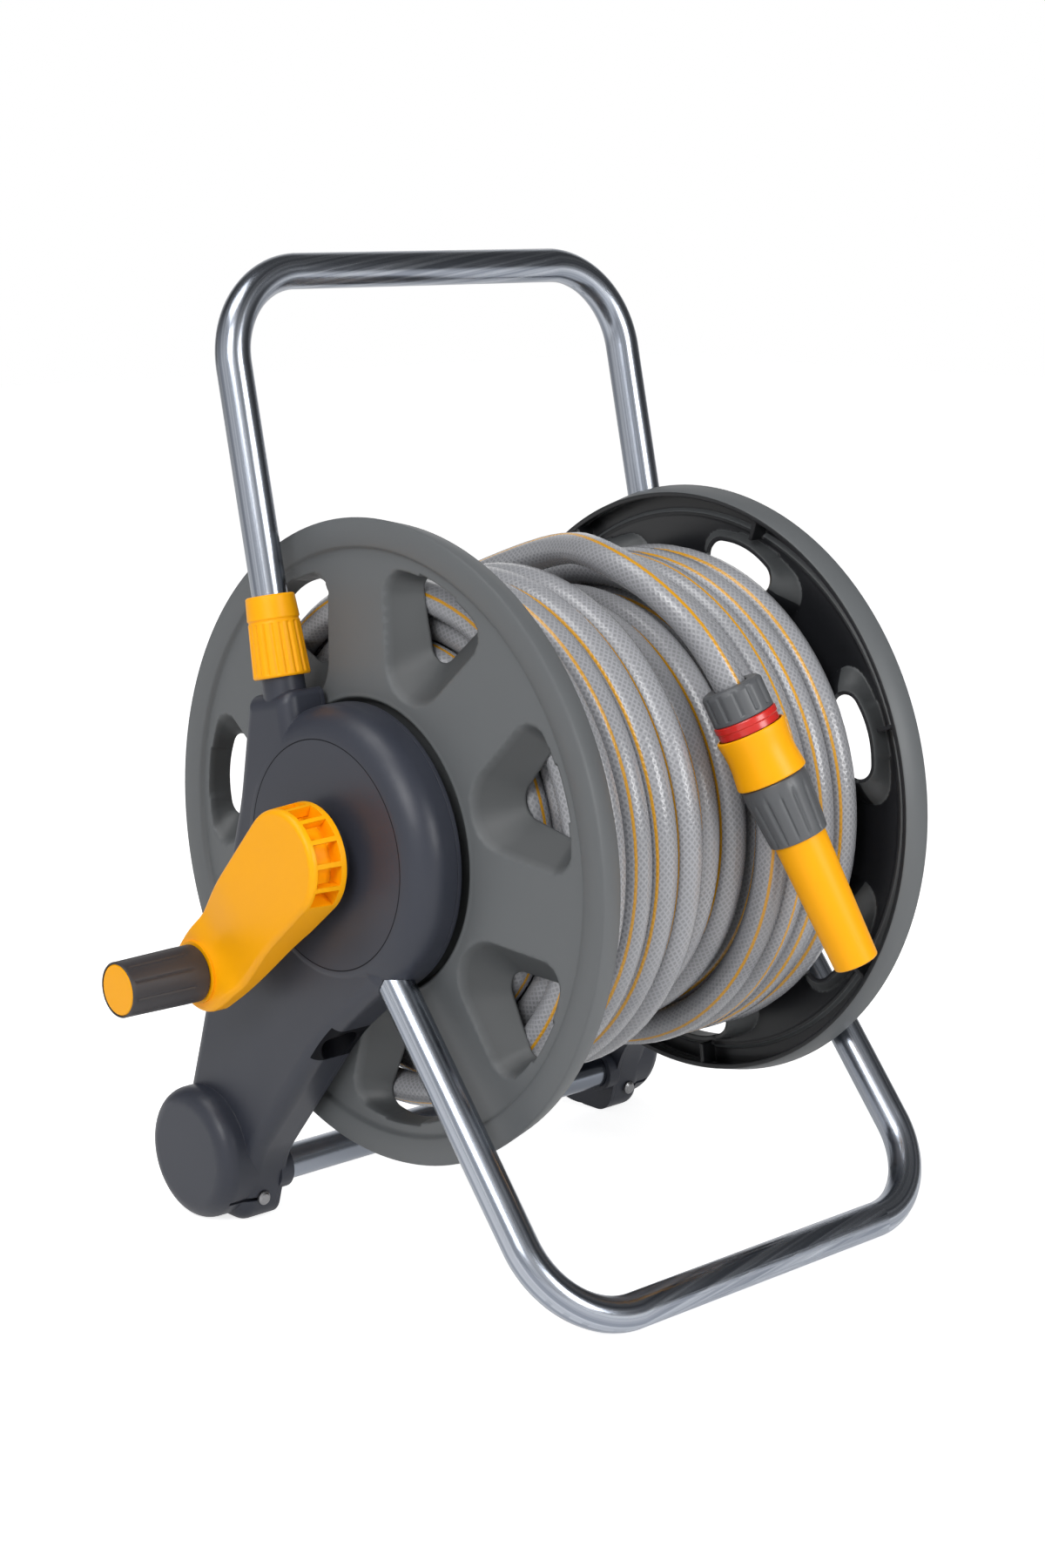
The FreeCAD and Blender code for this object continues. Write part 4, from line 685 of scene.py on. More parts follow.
def to_row(mesh: bmesh.types.BMesh) -> None:
    """Move a mesh from millimetres about the axle to the frame's metres."""
    bmesh.ops.scale(mesh, vec=(MM, MM, MM), verts=mesh.verts)
    bmesh.ops.translate(mesh, vec=AXLE, verts=mesh.verts)


def row(point: Vector) -> Vector:
    """A point about the axle in millimetres, in the frame's metres."""
    return AXLE + point * MM


def around_axle(angle: float, radius: float, x: float) -> Vector:
    """Point at an angle in degrees from the rear, turning over the top, about the drum's axis."""
    turn = math.radians(angle)
    return Vector((x, radius * math.cos(turn), radius * math.sin(turn)))


def lathe(profile: Profile, origin: Vector, axis: Vector, steps: int) -> bmesh.types.BMesh:
    """Spin a closed outline about an axis.

    Args:
        profile: Corners as (along, radius).
        origin: Where along is 0.
        axis: The direction of along.
        steps: Faces around.

    Returns:
        The closed mesh.
    """
    mesh = bmesh.new()
    corners = [mesh.verts.new((radius, 0.0, along)) for along, radius in profile]
    edges = [mesh.edges.new((a, b)) for a, b in zip(corners, corners[1:] + corners[:1])]
    bmesh.ops.spin(mesh, geom=corners + edges, cent=(0, 0, 0), axis=(0, 0, 1), angle=2 * math.pi,
                   steps=steps, use_merge=True, use_duplicate=False)
    bmesh.ops.remove_doubles(mesh, verts=mesh.verts, dist=POLE_GAP)
    bmesh.ops.recalc_face_normals(mesh, faces=mesh.faces)
    turn = Vector((0, 0, 1)).rotation_difference(axis).to_matrix().to_4x4()
    bmesh.ops.transform(mesh, matrix=Matrix.Translation(origin) @ turn, verts=mesh.verts)
    return mesh


@dataclass(frozen=True)
class Flutes:
    """Grooves along a turned piece, evenly spaced round it."""

    count: int
    depth: float
    start: float
    end: float
    least_r: float
    sharpness: float = 2.0

    def cut(self, mesh: bmesh.types.BMesh, origin: Vector, axis: Vector) -> None:
        """Press the grooves into a lathed mesh.

        Args:
            mesh: The mesh, still in millimetres.
            origin: The lathe's origin.
            axis: The lathe's axis.
        """
        first = axis.orthogonal().normalized()
        second = axis.cross(first)
        for vert in mesh.verts:
            offset = vert.co - origin
            along = offset.dot(axis)
            outward = offset - axis * along
            if not self.start <= along <= self.end or outward.length < self.least_r:
                continue
            angle = math.atan2(outward.dot(second), outward.dot(first))
            groove = max(0.0, math.cos(self.count * angle)) ** self.sharpness
            vert.co -= outward.normalized() * self.depth * groove


def joined(parts: list[bmesh.types.BMesh]) -> bmesh.types.BMesh:
    """Join meshes into one. They are used up.

    Args:
        parts: The meshes.

    Returns:
        The one mesh.
    """
    whole = bmesh.new()
    for part in parts:
        data = bpy.data.meshes.new("part")
        part.to_mesh(data)
        part.free()
        whole.from_mesh(data)
        bpy.data.meshes.remove(data)
    return whole


def new_curve(name: str, kind: str, points: list[Vector]) -> tuple[bpy.types.Curve, bpy.types.Spline]:
    """Start a curve along points.

    Args:
        name: The curve's name.
        kind: Blender's spline type.
        points: The points.

    Returns:
        The curve and its one spline.
    """
    curve = bpy.data.curves.new(name, "CURVE")
    curve.dimensions = "3D"
    spline = curve.splines.new(kind)
    spline.points.add(len(points) - 1)
    for index, point in enumerate(points):
        spline.points[index].co = (*point, 1.0)
    return curve, spline


def curve_mesh(curve: bpy.types.Curve) -> bpy.types.Mesh:
    """Mesh that a curve draws. The curve is used up.

    Args:
        curve: The curve.

    Returns:
        The mesh.
    """
    holder = linked(curve.name, curve)
    bpy.context.view_layer.update()
    shown = holder.evaluated_get(bpy.context.evaluated_depsgraph_get())
    mesh = bpy.data.meshes.new_from_object(shown)
    bpy.data.objects.remove(holder)
    bpy.data.curves.remove(curve)
    return mesh


def tube(path: list[Vector], radius: float, sides: int, zeros: Union[list[Vector], None] = None,
         drifts: Union[list[float], None] = None) -> bpy.types.Mesh:
    """Round tube along points, with a UV map named route: once round, and metres along.

    Args:
        path: The points, in the frame's metres.
        radius: The tube's radius in metres.
        sides: Faces around, a multiple of 4.
        zeros: Direction at each point where the way round starts.
        drifts: Turn of that start at each point, in whole turns.

    Returns:
        The mesh, open at its ends.
    """
    curve, _ = new_curve("path", "POLY", path)
    curve.twist_mode = "MINIMUM"
    curve.bevel_depth = radius
    curve.bevel_resolution = sides // 4 - 1
    curve.resolution_u = 1
    mesh = curve_mesh(curve)
    map_route(mesh, path, zeros, drifts)
    return mesh


def map_route(mesh: bpy.types.Mesh, path: list[Vector], zeros: Union[list[Vector], None],
              drifts: Union[list[float], None]) -> None:
    """Give a tube its UV map named route.

    Args:
        mesh: The tube, ring after ring along the path.
        path: The points, in the frame's metres.
        zeros: Direction at each point where the way round starts.
        drifts: Turn of that start at each point, in whole turns.
    """
    around = len(mesh.vertices) // len(path)
    lengths, turns = [0.0], []
    for before, after in zip(path, path[1:]):
        lengths.append(lengths[-1] + (after - before).length)
    for index, point in enumerate(path):
        forward = (path[min(index + 1, len(path) - 1)] - path[max(index - 1, 0)]).normalized()
        zero = zeros[index] if zeros else X_AXIS
        zero = (zero - forward * zero.dot(forward)).normalized()
        side = forward.cross(zero)
        start = drifts[index] if drifts else 0.0
        for spot in range(around):
            out = mesh.vertices[index * around + spot].co - point
            turns.append(math.atan2(out.dot(side), out.dot(zero)) / (2 * math.pi) + start)
    for spare in [other.name for other in mesh.uv_layers if other.name != "route"]:
        mesh.uv_layers.remove(mesh.uv_layers[spare])
    layer = mesh.uv_layers.get("route") or mesh.uv_layers.new(name="route")
    for face in mesh.polygons:
        first = turns[mesh.loops[face.loop_start].vertex_index]
        for loop in face.loop_indices:
            spot = mesh.loops[loop].vertex_index
            turn = turns[spot] - round(turns[spot] - first)
            layer.data[loop].uv = (turn, lengths[spot // around])


def rounded_path(corners: list[Vector], radius: float, steps: int) -> list[Vector]:
    """Bent tube's line: straight runs joined by arcs of one radius.

    Args:
        corners: The line's ends and the corners between them.
        radius: The bends' radius.
        steps: Points on each bend.

    Returns:
        The points in order.
    """
    points = [corners[0]]
    for before, corner, after in zip(corners, corners[1:], corners[2:]):
        run_in, run_out = (corner - before).normalized(), (after - corner).normalized()
        half = run_in.angle(run_out) / 2
        reach = radius * math.tan(half)
        inward = (run_out - run_in).normalized()
        centre = corner + inward * (radius / math.cos(half))
        start = corner - run_in * reach - centre
        turn_axis = run_in.cross(run_out).normalized()
        for step in range(steps + 1):
            turn = Matrix.Rotation(2 * half * step / steps, 3, turn_axis)
            points.append(centre + turn @ start)
    return points + [corners[-1]]


def corner_normals(mesh: bmesh.types.BMesh, least: float) -> list[Vector]:
    """Normals for every corner of every face, led by the larger faces round it.

    Args:
        mesh: The mesh, in the frame's metres.
        least: Cosine of the turn past which a face no longer counts for its neighbour.

    Returns:
        One normal for each corner, in the faces' order.
    """
    mesh.faces.ensure_lookup_table()
    mesh.normal_update()
    flats = [face.normal.copy() for face in mesh.faces]
    areas = [face.calc_area() for face in mesh.faces]
    normals = []
    for face in mesh.faces:
        for corner in face.loops:
            total = Vector()
            for other in corner.vert.link_faces:
                if flats[other.index].dot(flats[face.index]) >= least:
                    total += flats[other.index] * areas[other.index]
            normals.append(total.normalized() if total.length else flats[face.index])
    return normals


class Bench:
    """Turns finished meshes into pieces of the scene.

    Sharp edges are those that turn by more than sharp_turn degrees. The gaps are in metres.
    """

    sharp_turn: float = 35.0
    skin_turn: float = 32.0
    edge_segments: int = 2
    same_corner: float = 2e-6
    least_edge: float = 1e-6

    def __init__(self, frame: dict, finishes: Finishes) -> None:
        """Keep the frame and the finishes.

        Args:
            finishes: Every finish.
        """
        self.frame = frame
        self.finishes = finishes
        record = frame["record"]
        bodies = record["behaviour"]["bodies"]
        self.body_of = {node: body for body, nodes in bodies.items() for node in nodes}
        self.slot_of = {part["node"]: part["material_slot"] for part in record["subparts"]}

    def place(self, mesh: Union[bmesh.types.BMesh, bpy.types.Mesh], name: str, node: str,
              material: bpy.types.Material, edge: float = 0.0, smooth: float = sharp_turn,
              hides: tuple[str, ...] = ()) -> bpy.types.Object:
        """Make a piece that stands for a CAD node.

        Args:
            mesh: A mesh in millimetres about the axle, or one already in the frame's metres.
            name: The piece's name.
            node: The CAD node that it replaces and whose body it rides on.
            material: Its finish.
            edge: Rounding of its sharp edges, in millimetres.
            smooth: Edges that turn by more than this many degrees stay sharp.
            hides: Further nodes that it stands for.

        Returns:
            The piece.
        """
        if isinstance(mesh, bmesh.types.BMesh):
            to_row(mesh)
            data = bpy.data.meshes.new(name)
            mesh.to_mesh(data)
            mesh.free()
        else:
            data = mesh
            data.name = name
        data.materials.clear()
        data.materials.append(material)
        piece = linked(name, data)
        for face in data.polygons:
            face.use_smooth = True
        data.set_sharp_from_angle(angle=math.radians(smooth))
        if edge:
            bevel = piece.modifiers.new("edge", "BEVEL")
            bevel.width = edge * MM
            bevel.segments = self.edge_segments
            bevel.limit_method = "ANGLE"
            bevel.angle_limit = math.radians(self.sharp_turn)
            weighted = piece.modifiers.new("shading", "WEIGHTED_NORMAL")
            weighted.keep_sharp = True
        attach(piece, self.body_of[node])
        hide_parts(node, *hides)
        log.info("%s: %d faces", name, len(data.polygons))
        return piece

    def dress(self, node: str, material: bpy.types.Material) -> None:
        """Give a CAD node that stays a better finish.

        Args:
            node: The CAD node.
            material: Its finish.
        """
        holder = self.frame["nodes"][node]
        if not holder.material_slots:
            holder.data.materials.append(material)
        for slot in holder.material_slots:
            slot.material = material
        log.info("%s: kept from the frame", node)

    def merged(self, node: str) -> bmesh.types.BMesh:
        """Joined-up copy of a CAD node's mesh, in the frame's metres.

        Args:
            node: The CAD node.

        Returns:
            The mesh.
        """
        mesh = bmesh.new()
        mesh.from_mesh(self.frame["nodes"][node].data)
        bmesh.ops.remove_doubles(mesh, verts=mesh.verts, dist=self.same_corner)
        bmesh.ops.dissolve_degenerate(mesh, edges=mesh.edges, dist=self.least_edge)
        return mesh

    def skin(self, node: str, material: bpy.types.Material, smooth: float = skin_turn,
             mesh: Union[bmesh.types.BMesh, None] = None) -> bpy.types.Object:
        """Piece with a CAD node's own shape, joined up and shaded smooth between its real edges.

        Args:
            node: The CAD node.
            material: Its finish.
            smooth: Edges that turn by more than this many degrees stay sharp.
            mesh: The joined-up copy, where it has been worked on.

        Returns:
            The piece.
        """
        mesh = mesh or self.merged(node)
        normals = corner_normals(mesh, math.cos(math.radians(smooth)))
        data = bpy.data.meshes.new(node + "_skin")
        mesh.to_mesh(data)
        mesh.free()
        piece = self.place(data, node + "_skin", node, material, smooth=smooth)
        data.normals_split_custom_set(normals)
        return piece


@dataclass(frozen=True)
class LegPlane:
    """Leaning plane of a bent tube: s runs up along its legs."""

    lean: float
    offset: float

    @property
    def up(self) -> Vector:
        """Direction up along the legs."""
        angle = math.radians(self.lean)
        return Vector((0.0, math.sin(angle), math.cos(angle)))

    @property
    def out(self) -> Vector:
        """Direction square to the plane."""
        angle = math.radians(self.lean)
        return Vector((0.0, math.cos(angle), -math.sin(angle)))

    def at(self, s: float, x: float) -> Vector:
        """Point of the plane."""
        return Vector((x, 0, 0)) + self.up * s + self.out * self.offset


HANDLE_PLANE = LegPlane(12.8, 30.2)
FRONT_PLANE = LegPlane(39.3, 8.4)


# Sub-assemblies

@dataclass(frozen=True)
class Lamp:
    """Square soft lamp: its place, where it looks, its side in metres and its power in watts."""

    name: str
    place: Place
    target: Place
    size: float
    power: float

    def build(self) -> None:
        """Make the lamp."""
        data = bpy.data.lights.new(self.name, "AREA")
        data.shape = "SQUARE"
        data.size = self.size
        data.energy = self.power
        holder = linked(self.name, data)
        holder.location = self.place
        toward = Vector(self.target) - Vector(self.place)
        holder.rotation_euler = toward.to_track_quat("-Z", "Y").to_euler()


@dataclass
class Studio:
    """Camera at the photograph's place, pale floor, white surround and soft lamps."""

    camera_at: Place = (-0.97723, -1.06685, 0.55346)
    down: float = 12.15
    heading: float = -42.47
    lens: float = 62.68
    sensor: float = 36.0
    nearest: float = 0.05
    floor_half: float = 6.0
    paper: float = 0.86
    paper_roughness: float = 0.9
    paper_specular: float = 0.1
    paper_seen: float = 0.78
    paper_mirrored: float = 0.35
    backdrop: Place = (0.67, 0.74, 0.0)
    backdrop_edge: tuple[float, float] = (0.70, 0.95)
    wall: Place = (-0.93, -0.20, -0.30)
    wall_edge: tuple[float, float] = (-0.1, 0.75)
    wall_bright: float = 0.95
    room: float = 0.10
    fill: float = 0.27
    lamps: tuple[Lamp, ...] = (
        Lamp("key", (-1.9, -0.9, 1.6), (0.0, 0.0, 0.2), 1.0, 26.0),
        Lamp("side", (0.3, -2.2, 1.0), (0.0, 0.0, 0.25), 0.9, 25.0),
        Lamp("top", (-0.9, 0.3, 2.1), (0.0, 0.0, 0.2), 1.0, 15.0))

    def camera(self) -> None:
        """Make the scene's camera."""
        data = bpy.data.cameras.new("camera")
        data.lens = self.lens
        data.sensor_width = self.sensor
        data.clip_start = self.nearest
        holder = linked("camera", data)
        holder.location = self.camera_at
        holder.rotation_euler = (math.radians(90 - self.down), 0.0, math.radians(self.heading))
        bpy.context.scene.camera = holder

    def floor(self) -> None:
        """Make the pale floor, which shows white behind the reel."""
        mesh = bmesh.new()
        bmesh.ops.create_grid(mesh, x_segments=1, y_segments=1, size=self.floor_half)
        data = bpy.data.meshes.new("floor")
        mesh.to_mesh(data)
        mesh.free()
        material, sheet, shader = new_material("floor_paper")
        path = sheet.add("ShaderNodeLightPath").outputs
        glow = sheet.math("MULTIPLY", path["Is Camera Ray"], self.paper_seen)
        glow = sheet.math("MULTIPLY_ADD", path["Is Glossy Ray"], self.paper_mirrored, glow)
        sheet.feed(shader.inputs["Base Color"], (self.paper, self.paper, self.paper, 1.0))
        sheet.feed(shader.inputs["Roughness"], self.paper_roughness)
        sheet.feed(shader.inputs["Specular IOR Level"], self.paper_specular)
        sheet.feed(shader.inputs["Emission Color"], (1.0, 1.0, 1.0, 1.0))
        sheet.feed(shader.inputs["Emission Strength"], glow)
        data.materials.append(material)
        linked("floor", data)

    def world(self) -> None:
        """Make the white surround and its plain fill light."""
        world = bpy.data.worlds.new("surround")
        bpy.context.scene.world = world
        world.use_nodes = True
        sheet = NodeSheet(world.node_tree)
        back = world.node_tree.nodes["Background"]
        path = sheet.add("ShaderNodeLightPath").outputs
        seen = sheet.math("MAXIMUM", path["Is Camera Ray"], path["Is Transmission Ray"])
        way = sheet.add("ShaderNodeTexCoord").outputs["Generated"]
        behind = sheet.vector("DOT_PRODUCT", way, self.backdrop)
        paper = sheet.ramp(behind, *self.backdrop_edge, self.room, 1.0)
        beside = sheet.vector("DOT_PRODUCT", way, self.wall)
        wall = sheet.ramp(beside, *self.wall_edge, self.room, self.wall_bright)
        mirror = sheet.math("MULTIPLY", sheet.math("MAXIMUM", paper, wall), path["Is Glossy Ray"])
        plain = sheet.math("SUBTRACT", 1.0, path["Is Glossy Ray"])
        level = sheet.math("MULTIPLY_ADD", plain, self.fill, mirror)
        sheet.feed(back.inputs["Color"], (1.0, 1.0, 1.0, 1.0))
        sheet.feed(back.inputs["Strength"], sheet.math("MAXIMUM", level, seen))

    def build(self) -> None:
        """Make everything round the reel but the camera."""
        self.floor()
        self.world()
        for lamp in self.lamps:
            lamp.build()
        bpy.context.scene.view_settings.view_transform = "Standard"


@dataclass
class WoundHose:
    """The whole hose: two hidden layers, the outer layer, the run that crosses it, and the free end.

    Angles are in degrees from the rear, turning over the top. The hose is level from level_to to level_from
    of the next round and steps aside between them, over a hump where the step is longer than wide_step. The
    run starts to climb climb_early before the last turn's end and to cross cross_late after it. Each entry
    is an angle, a radius and an x. Each stripe wave is its size in turns, its rate in radians for each
    metre, and its start in radians.
    """

    radius: float = 8.7
    sides: int = 16
    entry: tuple[Triple, ...] = ((204.0, 93.0, 86.0), (224.0, 99.0, 90.0))
    inner_r: float = 98.9
    inner_turns: list[float] = field(default_factory=lambda: [95.9 - 17.436 * i for i in range(12)])
    middle_r: float = 113.9
    middle_turns: list[float] = field(
        default_factory=lambda: [-86.8, -68.7, -50.5, -32.4, 6.0, 26.0, 50.5, 68.7, 86.8])
    outer_r: float = 129.8
    outer_turns: list[float] = field(
        default_factory=lambda: [95.9, 77.75, 59.6, 41.45, -23.3, -41.45, -59.6, -77.75, -95.9])
    level_from: float = 65.0
    level_to: float = 245.0
    per_turn: int = 16
    wide_step: float = 40.0
    hump: float = 2.4
    run_r: float = 150.0
    run_x: float = 5.0
    run_end: float = 72.0
    run_end_r: float = 136.5
    climb_early: float = 21.6
    climb_span: float = 108.0
    cross_late: float = 43.2
    drop_span: float = 50.4
    look_back: float = 0.05
    first_run: float = 37.0
    free_route: tuple[Place, ...] = ((-10.0, -50.0, 148.0), (-9.0, -92.0, 134.0))
    end_start: Place = (9.1, -128.1, 85.5)
    end_tip: Place = (51.9, -180.8, -58.5)
    end_reach: float = 21.0
    in_nut: float = 12.0
    loose_from_y: float = -20.0
    stripe_waves: tuple[Triple, ...] = ((0.055, 2.1, 0.0), (0.045, 0.83, 2.0))
    length: float = 0.0
    path: list[Vector] = field(default_factory=list)

    @staticmethod
    def ease(part: float) -> float:
        """Smooth step from 0 to 1."""
        part = min(max(part, 0.0), 1.0)
        return part * part * (3 - 2 * part)

    def stations(self) -> list[tuple[float, float]]:
        """Place and radius of every turn, layer by layer."""
        layers = ((self.inner_turns, self.inner_r), (self.middle_turns, self.middle_r),
                  (self.outer_turns, self.outer_r))
        return [(x, layer_r) for turns, layer_r in layers for x in turns]

    @property
    def last_level(self) -> float:
        """Angle where the outer layer's last turn ends."""
        return 360 * (len(self.stations()) - 1) + self.level_to

    @property
    def leaving(self) -> float:
        """Angle where the run leaves the drum."""
        return 360 * len(self.stations()) + self.run_end

    def wound(self, degrees: float) -> Vector:
        """Centre of the wound hose: level over the front, stepping aside over the rear.

        Args:
            degrees: The angle wound so far, counted from the rear of the first turn.

        Returns:
            The point in millimetres about the axle.
        """
        turns = self.stations()
        index = max(0, min(int((degrees - self.level_from) // 360), len(turns) - 1))
        x0, r0 = turns[index]
        x1, r1 = turns[min(index + 1, len(turns) - 1)]
        part = (degrees - 360 * index - self.level_to) / (360 - self.level_to + self.level_from)
        part = min(max(part, 0.0), 1.0)
        moved = self.ease(part)
        hump = self.hump * math.sin(math.pi * part) if abs(x1 - x0) > self.wide_step else 0.0
        return around_axle(degrees, r0 + (r1 - r0) * moved + hump, x0 + (x1 - x0) * moved)

    def run(self, degrees: float) -> Vector:
        """Centre of the run that climbs at the left flange, crosses back and drops into the valley.

        Args:
            degrees: The angle wound so far.

        Returns:
            The point in millimetres about the axle.
        """
        last_x, last_r = self.stations()[-1]
        last, end = self.last_level, self.leaving
        climb = self.ease((degrees - last + self.climb_early) / self.climb_span)
        cross = self.ease((degrees - last - self.cross_late) / (end - last - self.cross_late))
        drop = self.ease((degrees - end + self.drop_span) / self.drop_span)
        radius = last_r + (self.run_r - last_r) * climb + (self.run_end_r - self.run_r) * drop
        return around_axle(degrees, radius, last_x + (self.run_x - last_x) * cross)

    def route(self) -> list[Vector]:
        """Control points of the whole hose, in the frame's metres.

        Returns:
            The points in order.
        """
        # A quadratic spline cuts the corners of its control points, so on the drum they stand out by swell.
        swell = 1.0 / (0.75 + 0.25 * math.cos(2 * math.pi / self.per_turn))
        step = 360.0 / self.per_turn
        points = [around_axle(*spot) for spot in self.entry]
        degrees = self.level_to
        while degrees < self.leaving - step / 2:
            on_run = degrees >= self.last_level - self.climb_early
            point = self.run(degrees) if on_run else self.wound(degrees)
            points.append(Vector((point.x, point.y * swell, point.z * swell)))
            degrees += step
        tail = self.run(self.leaving)
        forward = (tail - self.run(self.leaving - self.look_back)).normalized()
        leave = tail + forward * 2 * self.radius
        points += [tail, leave + forward * self.first_run]
        points += [Vector(point) for point in self.free_route]
        start, axis = Vector(self.end_start), self.axis()
        points += [start - axis * self.end_reach, start + axis * self.in_nut]
        return [row(point) for point in points]

    def stripe_turns(self, path: list[Vector]) -> tuple[list[Vector], list[float]]:
        """Directions that the stripes are counted from: outwards on the drum, carried on along the free end.

        Args:
            path: The hose's line.

        Returns:
            A direction and a slow drift in turns for each point.
        """
        zeros, drifts, gone = [], [], 0.0
        for index, point in enumerate(path):
            if index:
                gone += (point - path[index - 1]).length
            waves = [size * math.sin(gone * rate + start) for size, rate, start in self.stripe_waves]
            drifts.append(sum(waves))
            zeros.append(Vector((0.0, point.y - AXLE.y, point.z - AXLE.z)).normalized())
        front = AXLE.y + self.loose_from_y * MM
        loose = max(index for index in range(1, len(path)) if path[index].y < front <= path[index - 1].y)
        for index in range(loose, len(path)):
            forward = (path[index] - path[index - 1]).normalized()
            zeros[index] = (zeros[index - 1] - forward * zeros[index - 1].dot(forward)).normalized()
            drifts[index] = drifts[index - 1]
        return zeros, drifts

    def axis(self) -> Vector:
        """Direction of the connector and nozzle."""
        return (Vector(self.end_tip) - Vector(self.end_start)).normalized()

    def build(self, bench: Bench) -> bpy.types.Object:
        """Make the hose as one tube along its smooth route.

        Args:
            bench: The bench.

        Returns:
            The hose.
        """
        curve, spline = new_curve("hose_route", "NURBS", self.route())
        spline.order_u = 3
        spline.use_endpoint_u = True
        curve.resolution_u = 5
        line = curve_mesh(curve)
        self.path = [vert.co.copy() for vert in line.vertices]
        bpy.data.meshes.remove(line)
        self.length = sum((after - before).length for before, after in zip(self.path, self.path[1:]))
        mesh = tube(self.path, self.radius * MM, self.sides, *self.stripe_turns(self.path))
        log.info("hose length %.2f m, %d points", self.length, len(self.path))
        return bench.place(mesh, "hose", "hose_outer_layer", bench.finishes.hose, smooth=60.0,
                           hides=("hose_core", "hose_end"))


@dataclass
class TubeFrame:
    """Handle, front leg and rear crossbar of plated tube.

    A bend is pressed flat where its outside stands out by more than flat_from of the tube's radius.
    """

    tube_r: float = 9.5
    sides: int = 48
    bend_r: float = 48.0
    bend_steps: int = 24
    flat_from: float = 0.3
    flattening: float = 0.16
    handle_low: float = 14.0
    handle_bar: float = 305.0
    front_top: float = -35.0
    front_bar: float = -270.32
    crossbar_y: float = 85.0
    crossbar_z: float = -197.0
    crossbar_tip: float = 150.0
    crossbar_steps: int = 8

    def u_path(self, plane: LegPlane, end_s: float, bar_s: float) -> list[Vector]:
        """Line of a bent tube.

        Args:
            plane: The tube's plane.
            end_s: Where its legs end.
            bar_s: Where its bar lies.

        Returns:
            The line from one leg's end to the other, in the frame's metres.
        """
        spots = ((end_s, -LEG_X), (bar_s, -LEG_X), (bar_s, LEG_X), (end_s, LEG_X))
        corners = [plane.at(s, x) for s, x in spots]
        return [row(point) for point in rounded_path(corners, self.bend_r, self.bend_steps)]

    def flatten_bends(self, mesh: bpy.types.Mesh, plane: LegPlane, bar_s: float) -> None:
        """Press the tube a little flat on the outside of its bends, as a tube bender leaves it.

        Args:
            mesh: The tube's mesh in the frame's metres.
            plane: The tube's plane.
            bar_s: Where its bar lies.
        """
        sign = math.copysign(1.0, bar_s)
        centre_x, centre_s = LEG_X - self.bend_r, bar_s - sign * self.bend_r
        for vert in mesh.vertices:
            local = (vert.co - AXLE) / MM
            side = math.copysign(1.0, local.x)
            dx, ds = local.x * side - centre_x, (local.dot(plane.up) - centre_s) * sign
            if dx <= 0 or ds <= 0:
                continue
            reach = math.hypot(dx, ds)
            over = reach - self.bend_r - self.flat_from * self.tube_r
            if over > 0:
                push = self.flattening * over * math.sin(2 * math.atan2(ds, dx))
                outward = X_AXIS * (side * dx / reach) + plane.up * (sign * ds / reach)
                vert.co -= outward * push * MM

    def build(self, bench: Bench) -> None:
        """Make the three tubes and dress the handle's plugs.

        Args:
            bench: The bench.
        """
        zinc = bench.finishes.zinc
        bent = (("handle", "handle_tube", HANDLE_PLANE, self.handle_low, self.handle_bar),
                ("front_leg", "front_leg_tube", FRONT_PLANE, self.front_top, self.front_bar))
        for name, node, plane, low, bar in bent:
            mesh = tube(self.u_path(plane, low, bar), self.tube_r * MM, self.sides)
            self.flatten_bends(mesh, plane, bar)
            bench.place(mesh, name, node, zinc, smooth=60.0)
        ends = [Vector((side.value * self.crossbar_tip, self.crossbar_y, self.crossbar_z)) for side in Side]
        parts = [step / self.crossbar_steps for step in range(self.crossbar_steps + 1)]
        line = [row(ends[0].lerp(ends[1], part)) for part in parts]
        mesh = tube(line, self.tube_r * MM, self.sides)
        bench.place(mesh, "crossbar", "rear_crossbar", zinc, smooth=60.0)
        bench.dress("handle_plugs", bench.finishes.panel)


